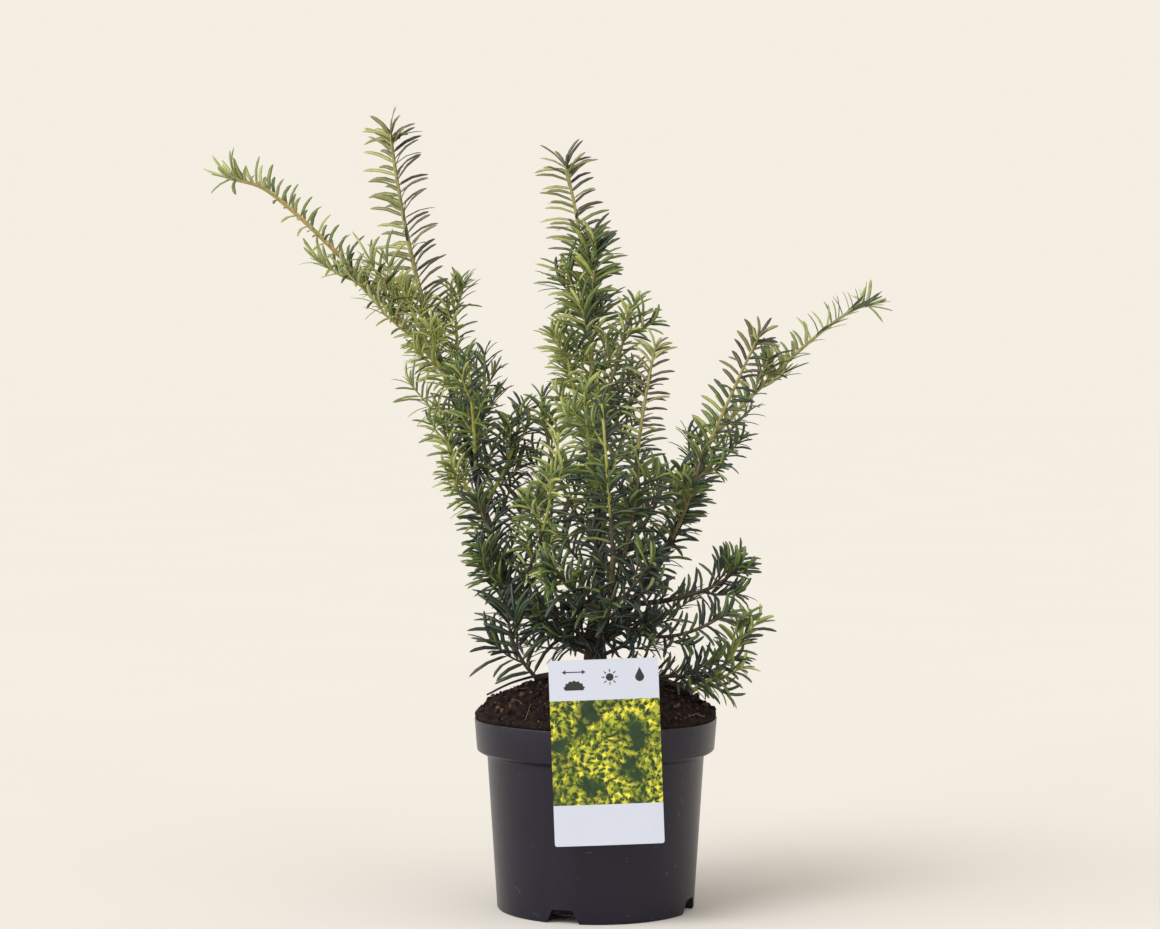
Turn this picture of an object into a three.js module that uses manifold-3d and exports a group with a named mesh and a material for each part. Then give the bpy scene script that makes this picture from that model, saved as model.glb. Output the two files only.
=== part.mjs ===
// A young multi-stem English yew standing in its round nursery pot, with the potting soil
// and a plain picture label hooked over the pot's rim.
// Millimetres, +Z up. The origin is the middle of the pot's flat underside; the label faces -Y.
// Bearings are degrees in plan (0 is +X, 90 is +Y), leans are degrees away from upright.

import * as THREE from 'three';
import { mergeVertices } from 'three/addons/utils/BufferGeometryUtils.js';
import Module from 'manifold-3d';

const wasm = await Module();
wasm.setup();

// ---------------------------------------------------------------- driving dimensions

const SEAT_GAP = 0.3; // clearance wherever two pieces rest on each other

const POT = {
  height: 133,
  rimRadius: 85,
  collarFootRadius: 83.2,
  collarDepth: 22,
  stepDepth: 4,
  bodyRadius: 76,
  baseRadius: 69,
  wall: 1.6,
  rimRounding: 0.7,
  floorTop: 6,
  recessDepth: 3,
  footRingWidth: 9,
  padRadius: 20,
  padBevel: 2,
  sides: 36,
};

const NOTCH = {
  count: 4,
  firstBearing: 250.5,
  topWidth: 14,
  footWidth: 24,
  height: 9.5,
  innerRadius: 57,
};

const SOIL = {
  crownHeight: 160, // top of the heaped soil above the pot's underside
  crownFlatRadius: 13,
  spillRadius: 84.4, // the heap spills a little over the rim
  spillHeight: 136,
  fall: 2.3, // power of the heap's fall: flat on top, steep at the rim
  lumpHeight: 1.1,
  rings: 4,
};

const LABEL = {
  width: 73.5,
  height: 124.7,
  thickness: 0.8,
  cornerRadius: 1.6,
  centreX: 6.8,
  centreZ: 119.7,
  tilt: 2.1,
  tongueWidth: 22,
  tongueFoot: 115,
  tongueY: -78.4,
  bridgeHeight: 138,
};

const TRUNK = {
  length: 33,
  bearing: 110,
  lean: 3,
  baseRadius: 7.8,
  topRadius: 6.6,
  flare: 3.4,
  flareHeight: 7,
  sides: 10,
};

const LIMB_SIDES = 6;
const LIMB_STEP = 22; // length of one straight facet along a limb

const TWIG = {
  sides: 3,
  stemRadius: 1.9,
  stemTipRadius: 1,
  radius: 1.3,
  tipRadius: 0.8,
  firstAt: 0.14, // share of the stem below the first side twig
  lastAt: 0.84,
  spread: 36, // angle between a side twig and its stem
  follow: 1.2, // how far a twig's tip turns along its stem
  rise: 0.3, // how far it turns upright
  variation: 0.3,
  shortening: 0.5, // loss of length from the stem's foot to its tip
  step: 24,
  clearance: 7, // a twig keeps this far from every other stem and limb
};

const NEEDLE = {
  length: 26, // larger than life, as each stands for a few
  width: 7,
  thickness: 1.6,
  bow: 0.07, // arch of the needle, as a share of its length
  spread: 74, // angle between a needle and its stem
  tipSpread: 30, // the same angle at the stem's very tip
  opening: 20, // length over which that angle opens
  spreadVariation: 14,
  turnVariation: 26,
  flattening: 0.62, // how far needles are pressed into two ranks
  lift: 0.3, // how far they rise on a stem that lies over
  sizeVariation: 0.24,
  shortening: 0.15,
  spacing: 15, // distance along the stem from one needle to the next
  footClear: 4,
  closingStem: 2, // needles that close the tip of a mass's stem
  closingTwig: 1,
  widestAt: 0.42, // share of the length where it is widest
  boundary: 3, // half the clear layer kept between two masses
  limbClearance: 2.7,
  shorter: [1, 0.8, 0.62], // sizes tried before a needle is skipped
};

// How strongly a shoot turns the upper side of its two ranks of needles up, to the front
// (less so towards the back of the crown) and away from the trunk.
const FACING = { up: 0.8, front: 1, frontDepth: 45, out: 0.5, outReach: 150 };

const GOLDEN_ANGLE = 137.508;
const DRAW = { turn: 1, twigLength: 10, needleTurn: 200, needleSpread: 400, needleSize: 600 };

// The woody limbs. `on` is the limb that carries this one and `at` the place along it
// (1 is its tip). The path turns from bearing/lean to tipBearing/tipLean; `bend` above 1
// makes it turn sooner.
const LIMBS = [
  { name: 'bough_left', on: 'trunk', at: 0.66, bearing: 178, lean: 80, tipBearing: 161, tipLean: 13,
    length: 150, bend: 1.8, radius: 3.6, tipRadius: 2.4 },
  { name: 'stem_left', on: 'bough_left', at: 1, bearing: 162, lean: 15, tipBearing: 165, tipLean: 21,
    length: 96, bend: 1, radius: 2.4, tipRadius: 1.9 },
  { name: 'bough_centre', on: 'trunk', at: 1, shift: [-2.6, 1.2], bearing: 20, lean: 8, tipBearing: 153,
    tipLean: 9, length: 142, bend: 1, radius: 3.2, tipRadius: 2.0 },
  { name: 'bough_inner', on: 'trunk', at: 1, shift: [3.4, -2.2], bearing: 323, lean: 27, tipBearing: 344,
    tipLean: 8, length: 99, bend: 1.4, radius: 2.4, tipRadius: 1.8 },
  { name: 'bough_right', on: 'trunk', at: 0.68, bearing: 355, lean: 44, tipBearing: 339, tipLean: 14,
    length: 164, bend: 1, radius: 3.4, tipRadius: 2.0 },
  { name: 'bough_front', on: 'trunk', at: 0.5, bearing: 284, lean: 60, tipBearing: 278, tipLean: 14,
    length: 92, bend: 1, radius: 2.8, tipRadius: 1.9 },
  { name: 'bough_back', on: 'trunk', at: 0.6, bearing: 84, lean: 56, tipBearing: 88, tipLean: 18,
    length: 132, bend: 1, radius: 3.2, tipRadius: 2.0 },
  { name: 'bough_low_right', on: 'bough_right', at: 0.24, bearing: 336, lean: 88, tipBearing: 342,
    tipLean: 74, length: 40, bend: 1, radius: 2.0, tipRadius: 1.6 },
  { name: 'bough_rim_right', on: 'trunk', at: 0.25, bearing: 338, lean: 92, tipBearing: 348, tipLean: 112,
    length: 72, bend: 1, radius: 2.1, tipRadius: 1.6 },
  { name: 'bough_low_left', on: 'trunk', at: 0.27, bearing: 206, lean: 98, tipBearing: 206, tipLean: 100,
    length: 46, bend: 1, radius: 2.1, tipRadius: 1.6 },
  { name: 'dead_twig_left', on: 'bough_low_left', at: 0.5, bearing: 188, lean: 94, tipBearing: 196,
    tipLean: 128, length: 58, bend: 0.5, radius: 1.2, tipRadius: 0.7 },
];

// The masses of foliage. Each grows from one stem, which leaves its limb at `at`. On a long
// shoot that lies over, `front` weakens how far its needles face the front, and `lift` raises them.
const MASSES = [
  { name: 'leader_left', on: 'stem_left', at: 1, bearing: 161, lean: 19, tipBearing: 147, tipLean: 8,
    length: 166, twigs: 0, twigLength: 24 },
  { name: 'arch_left', on: 'stem_left', at: 0.86, bearing: 195, lean: 41, tipBearing: 354, tipLean: 162,
    length: 216, bend: 0.2, twigs: 3, twigLength: 38, front: 0.15, lift: 1.1 },
  { name: 'column_left_inner', on: 'bough_left', at: 0.9, bearing: 4, lean: 36, tipBearing: 12,
    tipLean: 6, length: 76, twigs: 3, twigLength: 26 },
  { name: 'column_left_outer', on: 'bough_left', at: 0.82, bearing: 205, lean: 36, tipBearing: 150,
    tipLean: 16, length: 86, twigs: 2, twigLength: 22 },
  { name: 'column_left_front', on: 'stem_left', at: 0.08, bearing: 272, lean: 46, tipBearing: 210,
    tipLean: 8, length: 92, twigs: 2, twigLength: 26 },
  { name: 'column_left_back', on: 'stem_left', at: 0.14, bearing: 76, lean: 46, tipBearing: 110,
    tipLean: 8, length: 90, twigs: 3, twigLength: 26 },
  { name: 'column_left_top', on: 'stem_left', at: 0.62, bearing: 43, lean: 8, tipBearing: 161,
    tipLean: 14, length: 99, twigs: 2, twigLength: 24 },
  { name: 'column_left_crest', on: 'stem_left', at: 0.74, bearing: 226, lean: 36, tipBearing: 180,
    tipLean: 24, length: 84, twigs: 2, twigLength: 24 },
  { name: 'shoot_front_left', on: 'bough_left', at: 0.46, bearing: 294, lean: 56, tipBearing: 303,
    tipLean: 8, length: 137, twigs: 3, twigLength: 26 },
  { name: 'spray_left_low', on: 'bough_left', at: 0.4, bearing: 222, lean: 52, tipBearing: 200,
    tipLean: 36, length: 50, twigs: 2, twigLength: 24 },
  { name: 'leader_centre', on: 'bough_centre', at: 1, bearing: 11, lean: 3, tipBearing: 167, tipLean: 14,
    length: 186, twigs: 6, twigLength: 32 },
  { name: 'centre_top_left', on: 'bough_centre', at: 0.86, bearing: 199, lean: 21, tipBearing: 170,
    tipLean: 7, length: 96, twigs: 3, twigLength: 28 },
  { name: 'centre_top_right', on: 'bough_centre', at: 0.92, bearing: 328, lean: 19, tipBearing: 8,
    tipLean: 17, length: 105, twigs: 3, twigLength: 30 },
  { name: 'centre_left', on: 'bough_centre', at: 0.42, bearing: 176, lean: 38, tipBearing: 150,
    tipLean: 4, length: 112, twigs: 3, twigLength: 26 },
  { name: 'centre_front', on: 'bough_centre', at: 0.52, bearing: 262, lean: 44, tipBearing: 220,
    tipLean: 6, length: 104, twigs: 3, twigLength: 26 },
  { name: 'centre_back', on: 'bough_centre', at: 0.48, bearing: 96, lean: 46, tipBearing: 100, tipLean: 8,
    length: 112, twigs: 3, twigLength: 28 },
  { name: 'centre_right', on: 'bough_centre', at: 0.66, bearing: 30, lean: 34, tipBearing: 60, tipLean: 5,
    length: 96, twigs: 3, twigLength: 26 },
  { name: 'leader_inner', on: 'bough_inner', at: 1, bearing: 340, lean: 5, tipBearing: 355, tipLean: 12,
    length: 104, twigs: 0, twigLength: 20 },
  { name: 'inner_front', on: 'bough_inner', at: 0.45, bearing: 286, lean: 46, tipBearing: 320, tipLean: 8,
    length: 86, twigs: 3, twigLength: 26 },
  { name: 'arch_right', on: 'bough_right', at: 1, bearing: 346, lean: 43, tipBearing: 79, tipLean: 102,
    length: 184, bend: 0.5, twigs: 3, twigLength: 26, front: 0.3, lift: 0.9 },
  { name: 'side_right', on: 'bough_right', at: 0.9, bearing: 312, lean: 30, tipBearing: 318, tipLean: 32,
    length: 106, twigs: 1, twigLength: 20, front: 0.6, lift: 0.6 },
  { name: 'side_right_back', on: 'bough_right', at: 0.88, bearing: 62, lean: 58, tipBearing: 36,
    tipLean: 52, length: 74, twigs: 2, twigLength: 22, front: 1, lift: 0.5 },
  { name: 'right_front', on: 'bough_right', at: 0.52, bearing: 296, lean: 50, tipBearing: 330,
    tipLean: 14, length: 84, twigs: 3, twigLength: 26 },
  { name: 'right_back', on: 'bough_right', at: 0.56, bearing: 66, lean: 50, tipBearing: 40, tipLean: 12,
    length: 86, twigs: 3, twigLength: 28 },
  { name: 'spray_low_right', on: 'bough_low_right', at: 1, bearing: 346, lean: 78, tipBearing: 339,
    tipLean: 46, length: 44, twigs: 3, twigLength: 24 },
  { name: 'spray_droop_right', on: 'bough_right', at: 0.14, bearing: 306, lean: 112, tipBearing: 350,
    tipLean: 56, length: 96, twigs: 3, twigLength: 28 },
  { name: 'spray_rim_right', on: 'bough_rim_right', at: 1, bearing: 346, lean: 62, tipBearing: 336,
    tipLean: 10, length: 66, twigs: 4, twigLength: 26 },
  { name: 'spray_rim_hanging', on: 'bough_rim_right', at: 0.6, bearing: 352, lean: 80, tipBearing: 356,
    tipLean: 124, length: 54, twigs: 1, twigLength: 18 },
  { name: 'spray_rim_left', on: 'bough_low_left', at: 1, bearing: 206, lean: 46, tipBearing: 200,
    tipLean: 4, length: 54, twigs: 3, twigLength: 28 },
  { name: 'leader_front', on: 'bough_front', at: 1, bearing: 240, lean: 8, tipBearing: 200, tipLean: 5,
    length: 104, twigs: 3, twigLength: 26 },
  { name: 'spray_front_left', on: 'bough_front', at: 0.5, bearing: 218, lean: 66, tipBearing: 226,
    tipLean: 40, length: 66, twigs: 3, twigLength: 28 },
  { name: 'spray_front_right', on: 'bough_front', at: 0.56, bearing: 318, lean: 60, tipBearing: 306,
    tipLean: 38, length: 60, twigs: 3, twigLength: 26 },
  { name: 'leader_back', on: 'bough_back', at: 1, bearing: 92, lean: 20, tipBearing: 78, tipLean: 10,
    length: 112, twigs: 4, twigLength: 28 },
  { name: 'spray_back_left', on: 'bough_back', at: 0.5, bearing: 146, lean: 58, tipBearing: 134,
    tipLean: 26, length: 92, twigs: 4, twigLength: 30 },
  { name: 'spray_back_right', on: 'bough_back', at: 0.56, bearing: 30, lean: 58, tipBearing: 46,
    tipLean: 24, length: 92, twigs: 4, twigLength: 30 },
  { name: 'spray_low_front_left', on: 'trunk', at: 0.78, bearing: 240, lean: 78, tipBearing: 226,
    tipLean: 50, length: 56, twigs: 2, twigLength: 28 },
  { name: 'spray_low_front_right', on: 'trunk', at: 0.72, bearing: 300, lean: 78, tipBearing: 316,
    tipLean: 50, length: 54, twigs: 2, twigLength: 28 },
  { name: 'spray_low_back_left', on: 'trunk', at: 0.45, bearing: 148, lean: 76, tipBearing: 158,
    tipLean: 46, length: 84, twigs: 3, twigLength: 30 },
  { name: 'spray_low_back_right', on: 'trunk', at: 0.42, bearing: 36, lean: 76, tipBearing: 24,
    tipLean: 46, length: 88, twigs: 3, twigLength: 30 },
];

// ---------------------------------------------------------------- finishes

const FINISH = {
  pot: { color: 0x35333b, roughness: 0.5, metalness: 0 },
  soil: { color: 0x2b2220, roughness: 0.98, metalness: 0 },
  label: { color: 0xe9edf2, roughness: 0.35, metalness: 0 },
  bark: { color: 0x5a4630, roughness: 0.85, metalness: 0 },
  foliage: { color: 0x5d6e37, roughness: 0.5, metalness: 0 },
};

// ---------------------------------------------------------------- solids

const UP = new THREE.Vector3(0, 0, 1);
const radians = THREE.MathUtils.degToRad;

// A closed three.js geometry as a solid that can be joined and cut.
function solidFrom(geometry) {
  const bare = geometry.clone();
  bare.deleteAttribute('normal');
  bare.deleteAttribute('uv');
  const merged = mergeVertices(bare, 1e-4);
  return new wasm.Manifold(new wasm.Mesh({
    numProp: 3,
    vertProperties: new Float32Array(merged.attributes.position.array),
    triVerts: new Uint32Array(merged.index.array),
  }));
}

// The solid back as a three.js geometry.
function geometryFrom(solid) {
  const mesh = solid.getMesh();
  const geometry = new THREE.BufferGeometry();
  geometry.setAttribute('position', new THREE.BufferAttribute(new Float32Array(mesh.vertProperties), 3));
  geometry.setIndex(new THREE.BufferAttribute(new Uint32Array(mesh.triVerts), 1));
  geometry.computeVertexNormals();
  return geometry;
}

// The largest of the separate pieces that a cut or a join leaves.
function largestPiece(solid) {
  const pieces = solid.decompose();
  pieces.sort((a, b) => b.volume() - a.volume());
  return pieces[0];
}

function namedMesh(name, solid, finish) {
  const mesh = new THREE.Mesh(geometryFrom(solid), new THREE.MeshStandardMaterial(FINISH[finish]));
  mesh.name = name;
  return mesh;
}

// A repeatable value from 0 to 1 for draw `index` of the plant part numbered `seed`.
function chance(seed, index) {
  const wave = Math.sin(seed * 12.9898 + index * 78.233) * 43758.5453;
  return wave - Math.floor(wave);
}

// ---------------------------------------------------------------- paths

function heading(bearing, lean) {
  const out = Math.sin(radians(lean));
  return new THREE.Vector3(
    out * Math.cos(radians(bearing)),
    out * Math.sin(radians(bearing)),
    Math.cos(radians(lean)),
  );
}

// A growing path: its direction turns from `first` to `last`, and each step adds the
// direction at that step's middle. `bend` above 1 makes it turn sooner.
function growPath(start, first, last, length, bend, steps) {
  const points = [start.clone()];
  for (let step = 0; step < steps; step += 1) {
    const left = (1 - (step + 0.5) / steps) ** bend;
    const direction = last.clone().lerp(first, left).normalize();
    points.push(points[step].clone().addScaledVector(direction, length / steps));
  }
  return points;
}

function pointAlong(points, share) {
  const place = THREE.MathUtils.clamp(share, 0, 1) * (points.length - 1);
  const before = Math.min(Math.floor(place), points.length - 2);
  return points[before].clone().lerp(points[before + 1], place - before);
}

function directionAlong(points, share) {
  const reach = 0.5 / (points.length - 1);
  const ahead = pointAlong(points, Math.min(share + reach, 1));
  return ahead.sub(pointAlong(points, Math.max(share - reach, 0))).normalize();
}

// A unit vector square to `direction`, turned by `angle` degrees round it. Angle 0 is level.
function across(direction, angle) {
  const level = new THREE.Vector3().crossVectors(direction, UP);
  if (level.length() < 0.02) level.set(1, 0, 0);
  level.normalize();
  return level.applyAxisAngle(direction, radians(angle));
}

// A rod of the given radius along a path: a cylinder's rings moved onto the path.
function rod(points, radiusAt, sides) {
  const steps = points.length - 1;
  const geometry = new THREE.CylinderGeometry(1, 1, 1, sides, steps);
  const position = geometry.attributes.position;
  const frames = [];
  let side = across(directionAlong(points, 0), 0);
  for (let ring = 0; ring <= steps; ring += 1) {
    const along = directionAlong(points, ring / steps);
    side = side.clone().addScaledVector(along, -side.dot(along)).normalize();
    frames.push({ side, over: new THREE.Vector3().crossVectors(side, along) });
  }
  for (let i = 0; i < position.count; i += 1) {
    const share = position.getY(i) + 0.5;
    const ring = Math.round(share * steps);
    const radius = radiusAt(share);
    const moved = points[ring].clone()
      .addScaledVector(frames[ring].side, position.getX(i) * radius)
      .addScaledVector(frames[ring].over, position.getZ(i) * radius);
    position.setXYZ(i, moved.x, moved.y, moved.z);
  }
  return solidFrom(geometry);
}

const taper = (from, to) => (share) => from + (to - from) * share;

// ---------------------------------------------------------------- pot, soil and label

function potOuterRadius(height) {
  const shoulder = POT.height - POT.collarDepth - POT.stepDepth;
  return POT.baseRadius + (POT.bodyRadius - POT.baseRadius) * (height / shoulder);
}

function lathe(profile, sides) {
  const points = profile.map(([radius, height]) => new THREE.Vector2(radius, height));
  return new THREE.LatheGeometry(points, sides).rotateX(Math.PI / 2);
}

function makePot() {
  const collarFoot = POT.height - POT.collarDepth;
  const shoulder = collarFoot - POT.stepDepth;
  const ringInner = POT.baseRadius - POT.footRingWidth;
  const profile = [
    [0, 0],
    [POT.padRadius, 0],
    [POT.padRadius + POT.padBevel, POT.recessDepth],
    [ringInner - POT.padBevel, POT.recessDepth],
    [ringInner, 0],
    [POT.baseRadius, 0],
    [potOuterRadius(shoulder), shoulder],
    [POT.collarFootRadius, collarFoot],
    [POT.rimRadius, POT.height - POT.rimRounding],
    [POT.rimRadius - POT.rimRounding, POT.height],
    [POT.rimRadius - POT.wall, POT.height],
    [POT.collarFootRadius - POT.wall, collarFoot + POT.wall / 2],
    [potOuterRadius(shoulder) - POT.wall, shoulder + POT.wall / 2],
    [potOuterRadius(POT.floorTop) - POT.wall, POT.floorTop],
    [0, POT.floorTop],
  ];
  let pot = solidFrom(lathe(profile, POT.sides));
  for (let index = 0; index < NOTCH.count; index += 1) {
    pot = pot.subtract(notchCutter(NOTCH.firstBearing + (index * 360) / NOTCH.count));
  }
  return pot;
}

// A drainage notch: a trapezium standing on the ground line, run outwards through the wall.
function notchCutter(bearing) {
  const below = 5;
  const slope = (NOTCH.footWidth - NOTCH.topWidth) / 2 / NOTCH.height;
  const outline = new THREE.Shape([
    new THREE.Vector2(-NOTCH.footWidth / 2 - slope * below, -below),
    new THREE.Vector2(NOTCH.footWidth / 2 + slope * below, -below),
    new THREE.Vector2(NOTCH.topWidth / 2, NOTCH.height),
    new THREE.Vector2(-NOTCH.topWidth / 2, NOTCH.height),
  ]);
  const depth = POT.rimRadius - NOTCH.innerRadius;
  const cutter = new THREE.ExtrudeGeometry(outline, { depth, bevelEnabled: false });
  cutter.rotateX(Math.PI / 2); // the outline stands up, and the depth runs along -Y
  cutter.translate(0, -NOTCH.innerRadius, 0);
  cutter.rotateZ(radians(bearing - 270));
  return solidFrom(cutter);
}

// The heap's height at a radius: a flat crown, then a rounded fall to where it spills.
function soilHeight(radius) {
  const share = (radius - SOIL.crownFlatRadius) / (SOIL.spillRadius - SOIL.crownFlatRadius);
  return SOIL.crownHeight - (SOIL.crownHeight - SOIL.spillHeight) * Math.max(share, 0) ** SOIL.fall;
}

// Soft lumps over the heap, from -1.6 to 1.6.
function soilLumps(x, y) {
  return Math.sin(x / 3.2 + 1) * Math.sin(y / 3.7) + 0.6 * Math.sin(x / 7.7 - y / 5.9);
}

function makeSoil(label) {
  const collarFoot = POT.height - POT.collarDepth;
  const shoulder = collarFoot - POT.stepDepth;
  const inset = POT.wall + SEAT_GAP;
  const profile = [
    [0, POT.floorTop + SEAT_GAP],
    [potOuterRadius(POT.floorTop) - inset, POT.floorTop + SEAT_GAP],
    [potOuterRadius(shoulder) - inset, shoulder + POT.wall],
    [POT.collarFootRadius - inset, collarFoot + POT.wall],
    [POT.rimRadius - inset, POT.height + SEAT_GAP],
    [SOIL.spillRadius, POT.height + SEAT_GAP],
  ];
  for (let ring = 0; ring <= SOIL.rings; ring += 1) {
    const share = 1 - ring / SOIL.rings;
    const radius = SOIL.crownFlatRadius + (SOIL.spillRadius - SOIL.crownFlatRadius) * share;
    profile.push([radius, soilHeight(radius)]);
  }
  profile.push([0, SOIL.crownHeight]);
  const geometry = lathe(profile, POT.sides);
  const position = geometry.attributes.position;
  for (let i = 0; i < position.count; i += 1) {
    const x = position.getX(i);
    const y = position.getY(i);
    const z = position.getZ(i);
    const radius = Math.hypot(x, y);
    const free = z > SOIL.spillHeight + 1 && radius > SOIL.crownFlatRadius + 1;
    if (free) position.setZ(i, z + SOIL.lumpHeight * soilLumps(x, y));
  }
  return solidFrom(geometry).subtract(label);
}

// The label's card with a tongue that bridges the rim and dips into the soil, made larger
// all round by `grow` when it serves to cut its slot.
function makeLabel(grow) {
  const cardBack = -(POT.rimRadius + SEAT_GAP);
  const card = roundedCard(grow);
  card.translate(0, cardBack + grow, 0);
  const bridge = slab(
    LABEL.tongueWidth + 2 * grow,
    LABEL.tongueY - cardBack + LABEL.thickness + grow,
    LABEL.thickness + 2 * grow,
  );
  const bridgeMiddle = (LABEL.tongueY + cardBack) / 2;
  bridge.translate(0, bridgeMiddle + grow / 2, LABEL.bridgeHeight - LABEL.centreZ);
  const tongueTop = LABEL.bridgeHeight + LABEL.thickness / 2;
  const tongueHeight = tongueTop - LABEL.tongueFoot + 2 * grow;
  const tongue = slab(LABEL.tongueWidth + 2 * grow, LABEL.thickness + 2 * grow, tongueHeight);
  tongue.translate(0, LABEL.tongueY, (tongueTop + LABEL.tongueFoot) / 2 - LABEL.centreZ);
  const pieces = [card, bridge, tongue];
  if (grow > 0) {
    const open = slab(LABEL.tongueWidth + 2 * grow, cardDepth(), SOIL.crownHeight - LABEL.bridgeHeight);
    open.translate(0, bridgeMiddle, (SOIL.crownHeight + LABEL.bridgeHeight) / 2 - LABEL.centreZ);
    pieces.push(open);
  }
  pieces.forEach((piece) => piece.rotateY(-radians(LABEL.tilt)).translate(LABEL.centreX, 0, LABEL.centreZ));
  return wasm.Manifold.union(pieces.map(solidFrom));
}

function cardDepth() {
  return LABEL.tongueY + POT.rimRadius + LABEL.thickness + 2 * SEAT_GAP;
}

function slab(width, depth, height) {
  return new THREE.BoxGeometry(width, depth, height);
}

// A card with rounded corners, standing upright with its back on Y = 0.
function roundedCard(grow) {
  const halfWidth = LABEL.width / 2 + grow;
  const halfHeight = LABEL.height / 2 + grow;
  const corner = LABEL.cornerRadius;
  const outline = new THREE.Shape();
  outline.moveTo(-halfWidth + corner, -halfHeight);
  outline.lineTo(halfWidth - corner, -halfHeight);
  outline.absarc(halfWidth - corner, -halfHeight + corner, corner, -Math.PI / 2, 0);
  outline.absarc(halfWidth - corner, halfHeight - corner, corner, 0, Math.PI / 2);
  outline.absarc(-halfWidth + corner, halfHeight - corner, corner, Math.PI / 2, Math.PI);
  outline.absarc(-halfWidth + corner, -halfHeight + corner, corner, Math.PI, Math.PI * 1.5);
  const depth = LABEL.thickness + 2 * grow;
  const card = new THREE.ExtrudeGeometry(outline, { depth, bevelEnabled: false, curveSegments: 3 });
  return card.rotateX(Math.PI / 2);
}

// ---------------------------------------------------------------- trunk and boughs

function trunkRadius(share) {
  const flare = TRUNK.flare * Math.exp((-share * TRUNK.length) / TRUNK.flareHeight);
  return TRUNK.baseRadius + (TRUNK.topRadius - TRUNK.baseRadius) * share + flare;
}

// Every limb as { name, points, radiusAt, sides }, from the trunk outwards.
function planLimbs() {
  const foot = new THREE.Vector3(0, 0, SOIL.crownHeight + SEAT_GAP);
  const upwards = heading(TRUNK.bearing, TRUNK.lean);
  const limbs = new Map();
  limbs.set('trunk', {
    name: 'trunk',
    points: growPath(foot, UP, upwards, TRUNK.length, 1, 6),
    radiusAt: trunkRadius,
    sides: TRUNK.sides,
  });
  for (const limb of LIMBS) {
    const parent = limbs.get(limb.on);
    const start = startOn(parent, limb);
    const first = heading(limb.bearing, limb.lean);
    const last = heading(limb.tipBearing, limb.tipLean);
    const steps = Math.max(3, Math.round(limb.length / LIMB_STEP));
    limbs.set(limb.name, {
      name: limb.name,
      on: limb.on,
      points: growPath(start, first, last, limb.length, limb.bend, steps),
      radiusAt: taper(limb.radius, limb.tipRadius),
      sides: LIMB_SIDES,
    });
  }
  return limbs;
}

// Where a limb or stem starts: on its parent's axis, or just clear of the parent's tip.
function startOn(parent, { at, shift }) {
  const start = pointAlong(parent.points, at);
  if (at < 1) return start;
  start.addScaledVector(directionAlong(parent.points, 1), SEAT_GAP);
  if (shift) start.add(new THREE.Vector3(shift[0], shift[1], 0));
  return start;
}

function limbSolid(limb, grow) {
  return rod(limb.points, (share) => limb.radiusAt(share) + grow, limb.sides);
}

// Each limb is cut 0.3 mm clear of every limb made before it.
function makeLimbs(limbs) {
  const solids = new Map();
  const cutters = [];
  for (const limb of limbs.values()) {
    let solid = limbSolid(limb, 0);
    for (const cutter of cutters) solid = solid.subtract(cutter);
    solids.set(limb.name, largestPiece(solid));
    cutters.push(limbSolid(limb, SEAT_GAP));
  }
  return solids;
}

// ---------------------------------------------------------------- foliage

function segmentDistance(point, from, to) {
  const span = to.clone().sub(from);
  const share = THREE.MathUtils.clamp(point.clone().sub(from).dot(span) / span.lengthSq(), 0, 1);
  return point.distanceTo(from.clone().addScaledVector(span, share));
}

function pathDistance(point, points) {
  let nearest = Infinity;
  for (let i = 0; i + 1 < points.length; i += 1) {
    nearest = Math.min(nearest, segmentDistance(point, points[i], points[i + 1]));
  }
  return nearest;
}

// The main stem of every mass, numbered from 1 so that each has draws of its own.
function planStems(limbs) {
  return MASSES.map((mass, index) => {
    const start = startOn(limbs.get(mass.on), mass);
    const first = heading(mass.bearing, mass.lean);
    const last = heading(mass.tipBearing, mass.tipLean);
    const steps = Math.max(3, Math.round(mass.length / TWIG.step));
    const points = growPath(start, first, last, mass.length, mass.bend ?? 1, steps);
    const stem = { points, length: mass.length, radius: TWIG.stemRadius, tipRadius: TWIG.stemTipRadius };
    return { ...mass, seed: index + 1, shoots: [stem] };
  });
}

// Side twigs leave the stem by the golden angle, and shorten towards its tip. A twig that
// comes too near another mass's shoots or a limb is skipped.
function addTwigs(mass, masses, limbs) {
  const stem = mass.shoots[0];
  for (let index = 0; index < mass.twigs; index += 1) {
    const share = TWIG.firstAt + ((TWIG.lastAt - TWIG.firstAt) * (index + 0.5)) / mass.twigs;
    const along = directionAlong(stem.points, share);
    const turn = index * GOLDEN_ANGLE + 360 * chance(mass.seed, DRAW.turn);
    const first = along.clone().multiplyScalar(Math.cos(radians(TWIG.spread)))
      .addScaledVector(across(along, turn), Math.sin(radians(TWIG.spread)));
    const last = first.clone().addScaledVector(along, TWIG.follow).addScaledVector(UP, TWIG.rise).normalize();
    const varied = 1 + TWIG.variation * (chance(mass.seed, DRAW.twigLength + index) - 0.5);
    const length = mass.twigLength * varied * (1.15 - TWIG.shortening * share);
    const points = growPath(pointAlong(stem.points, share), first, last, length, 1, 2);
    if (isFree(points.slice(1), mass, masses, limbs, TWIG.clearance)) {
      mass.shoots.push({ points, length, radius: TWIG.radius, tipRadius: TWIG.tipRadius });
    }
  }
}

function isFree(points, mass, masses, limbs, clearance) {
  const nearLimb = (point) => [...limbs.values()].some(
    (limb) => pathDistance(point, limb.points) < limb.radiusAt(0.5) + clearance,
  );
  const nearMass = (point) => masses.some(
    (other) => other !== mass && other.shoots.some((shoot) => pathDistance(point, shoot.points) < clearance),
  );
  return !points.some((point) => nearLimb(point) || nearMass(point));
}

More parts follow.
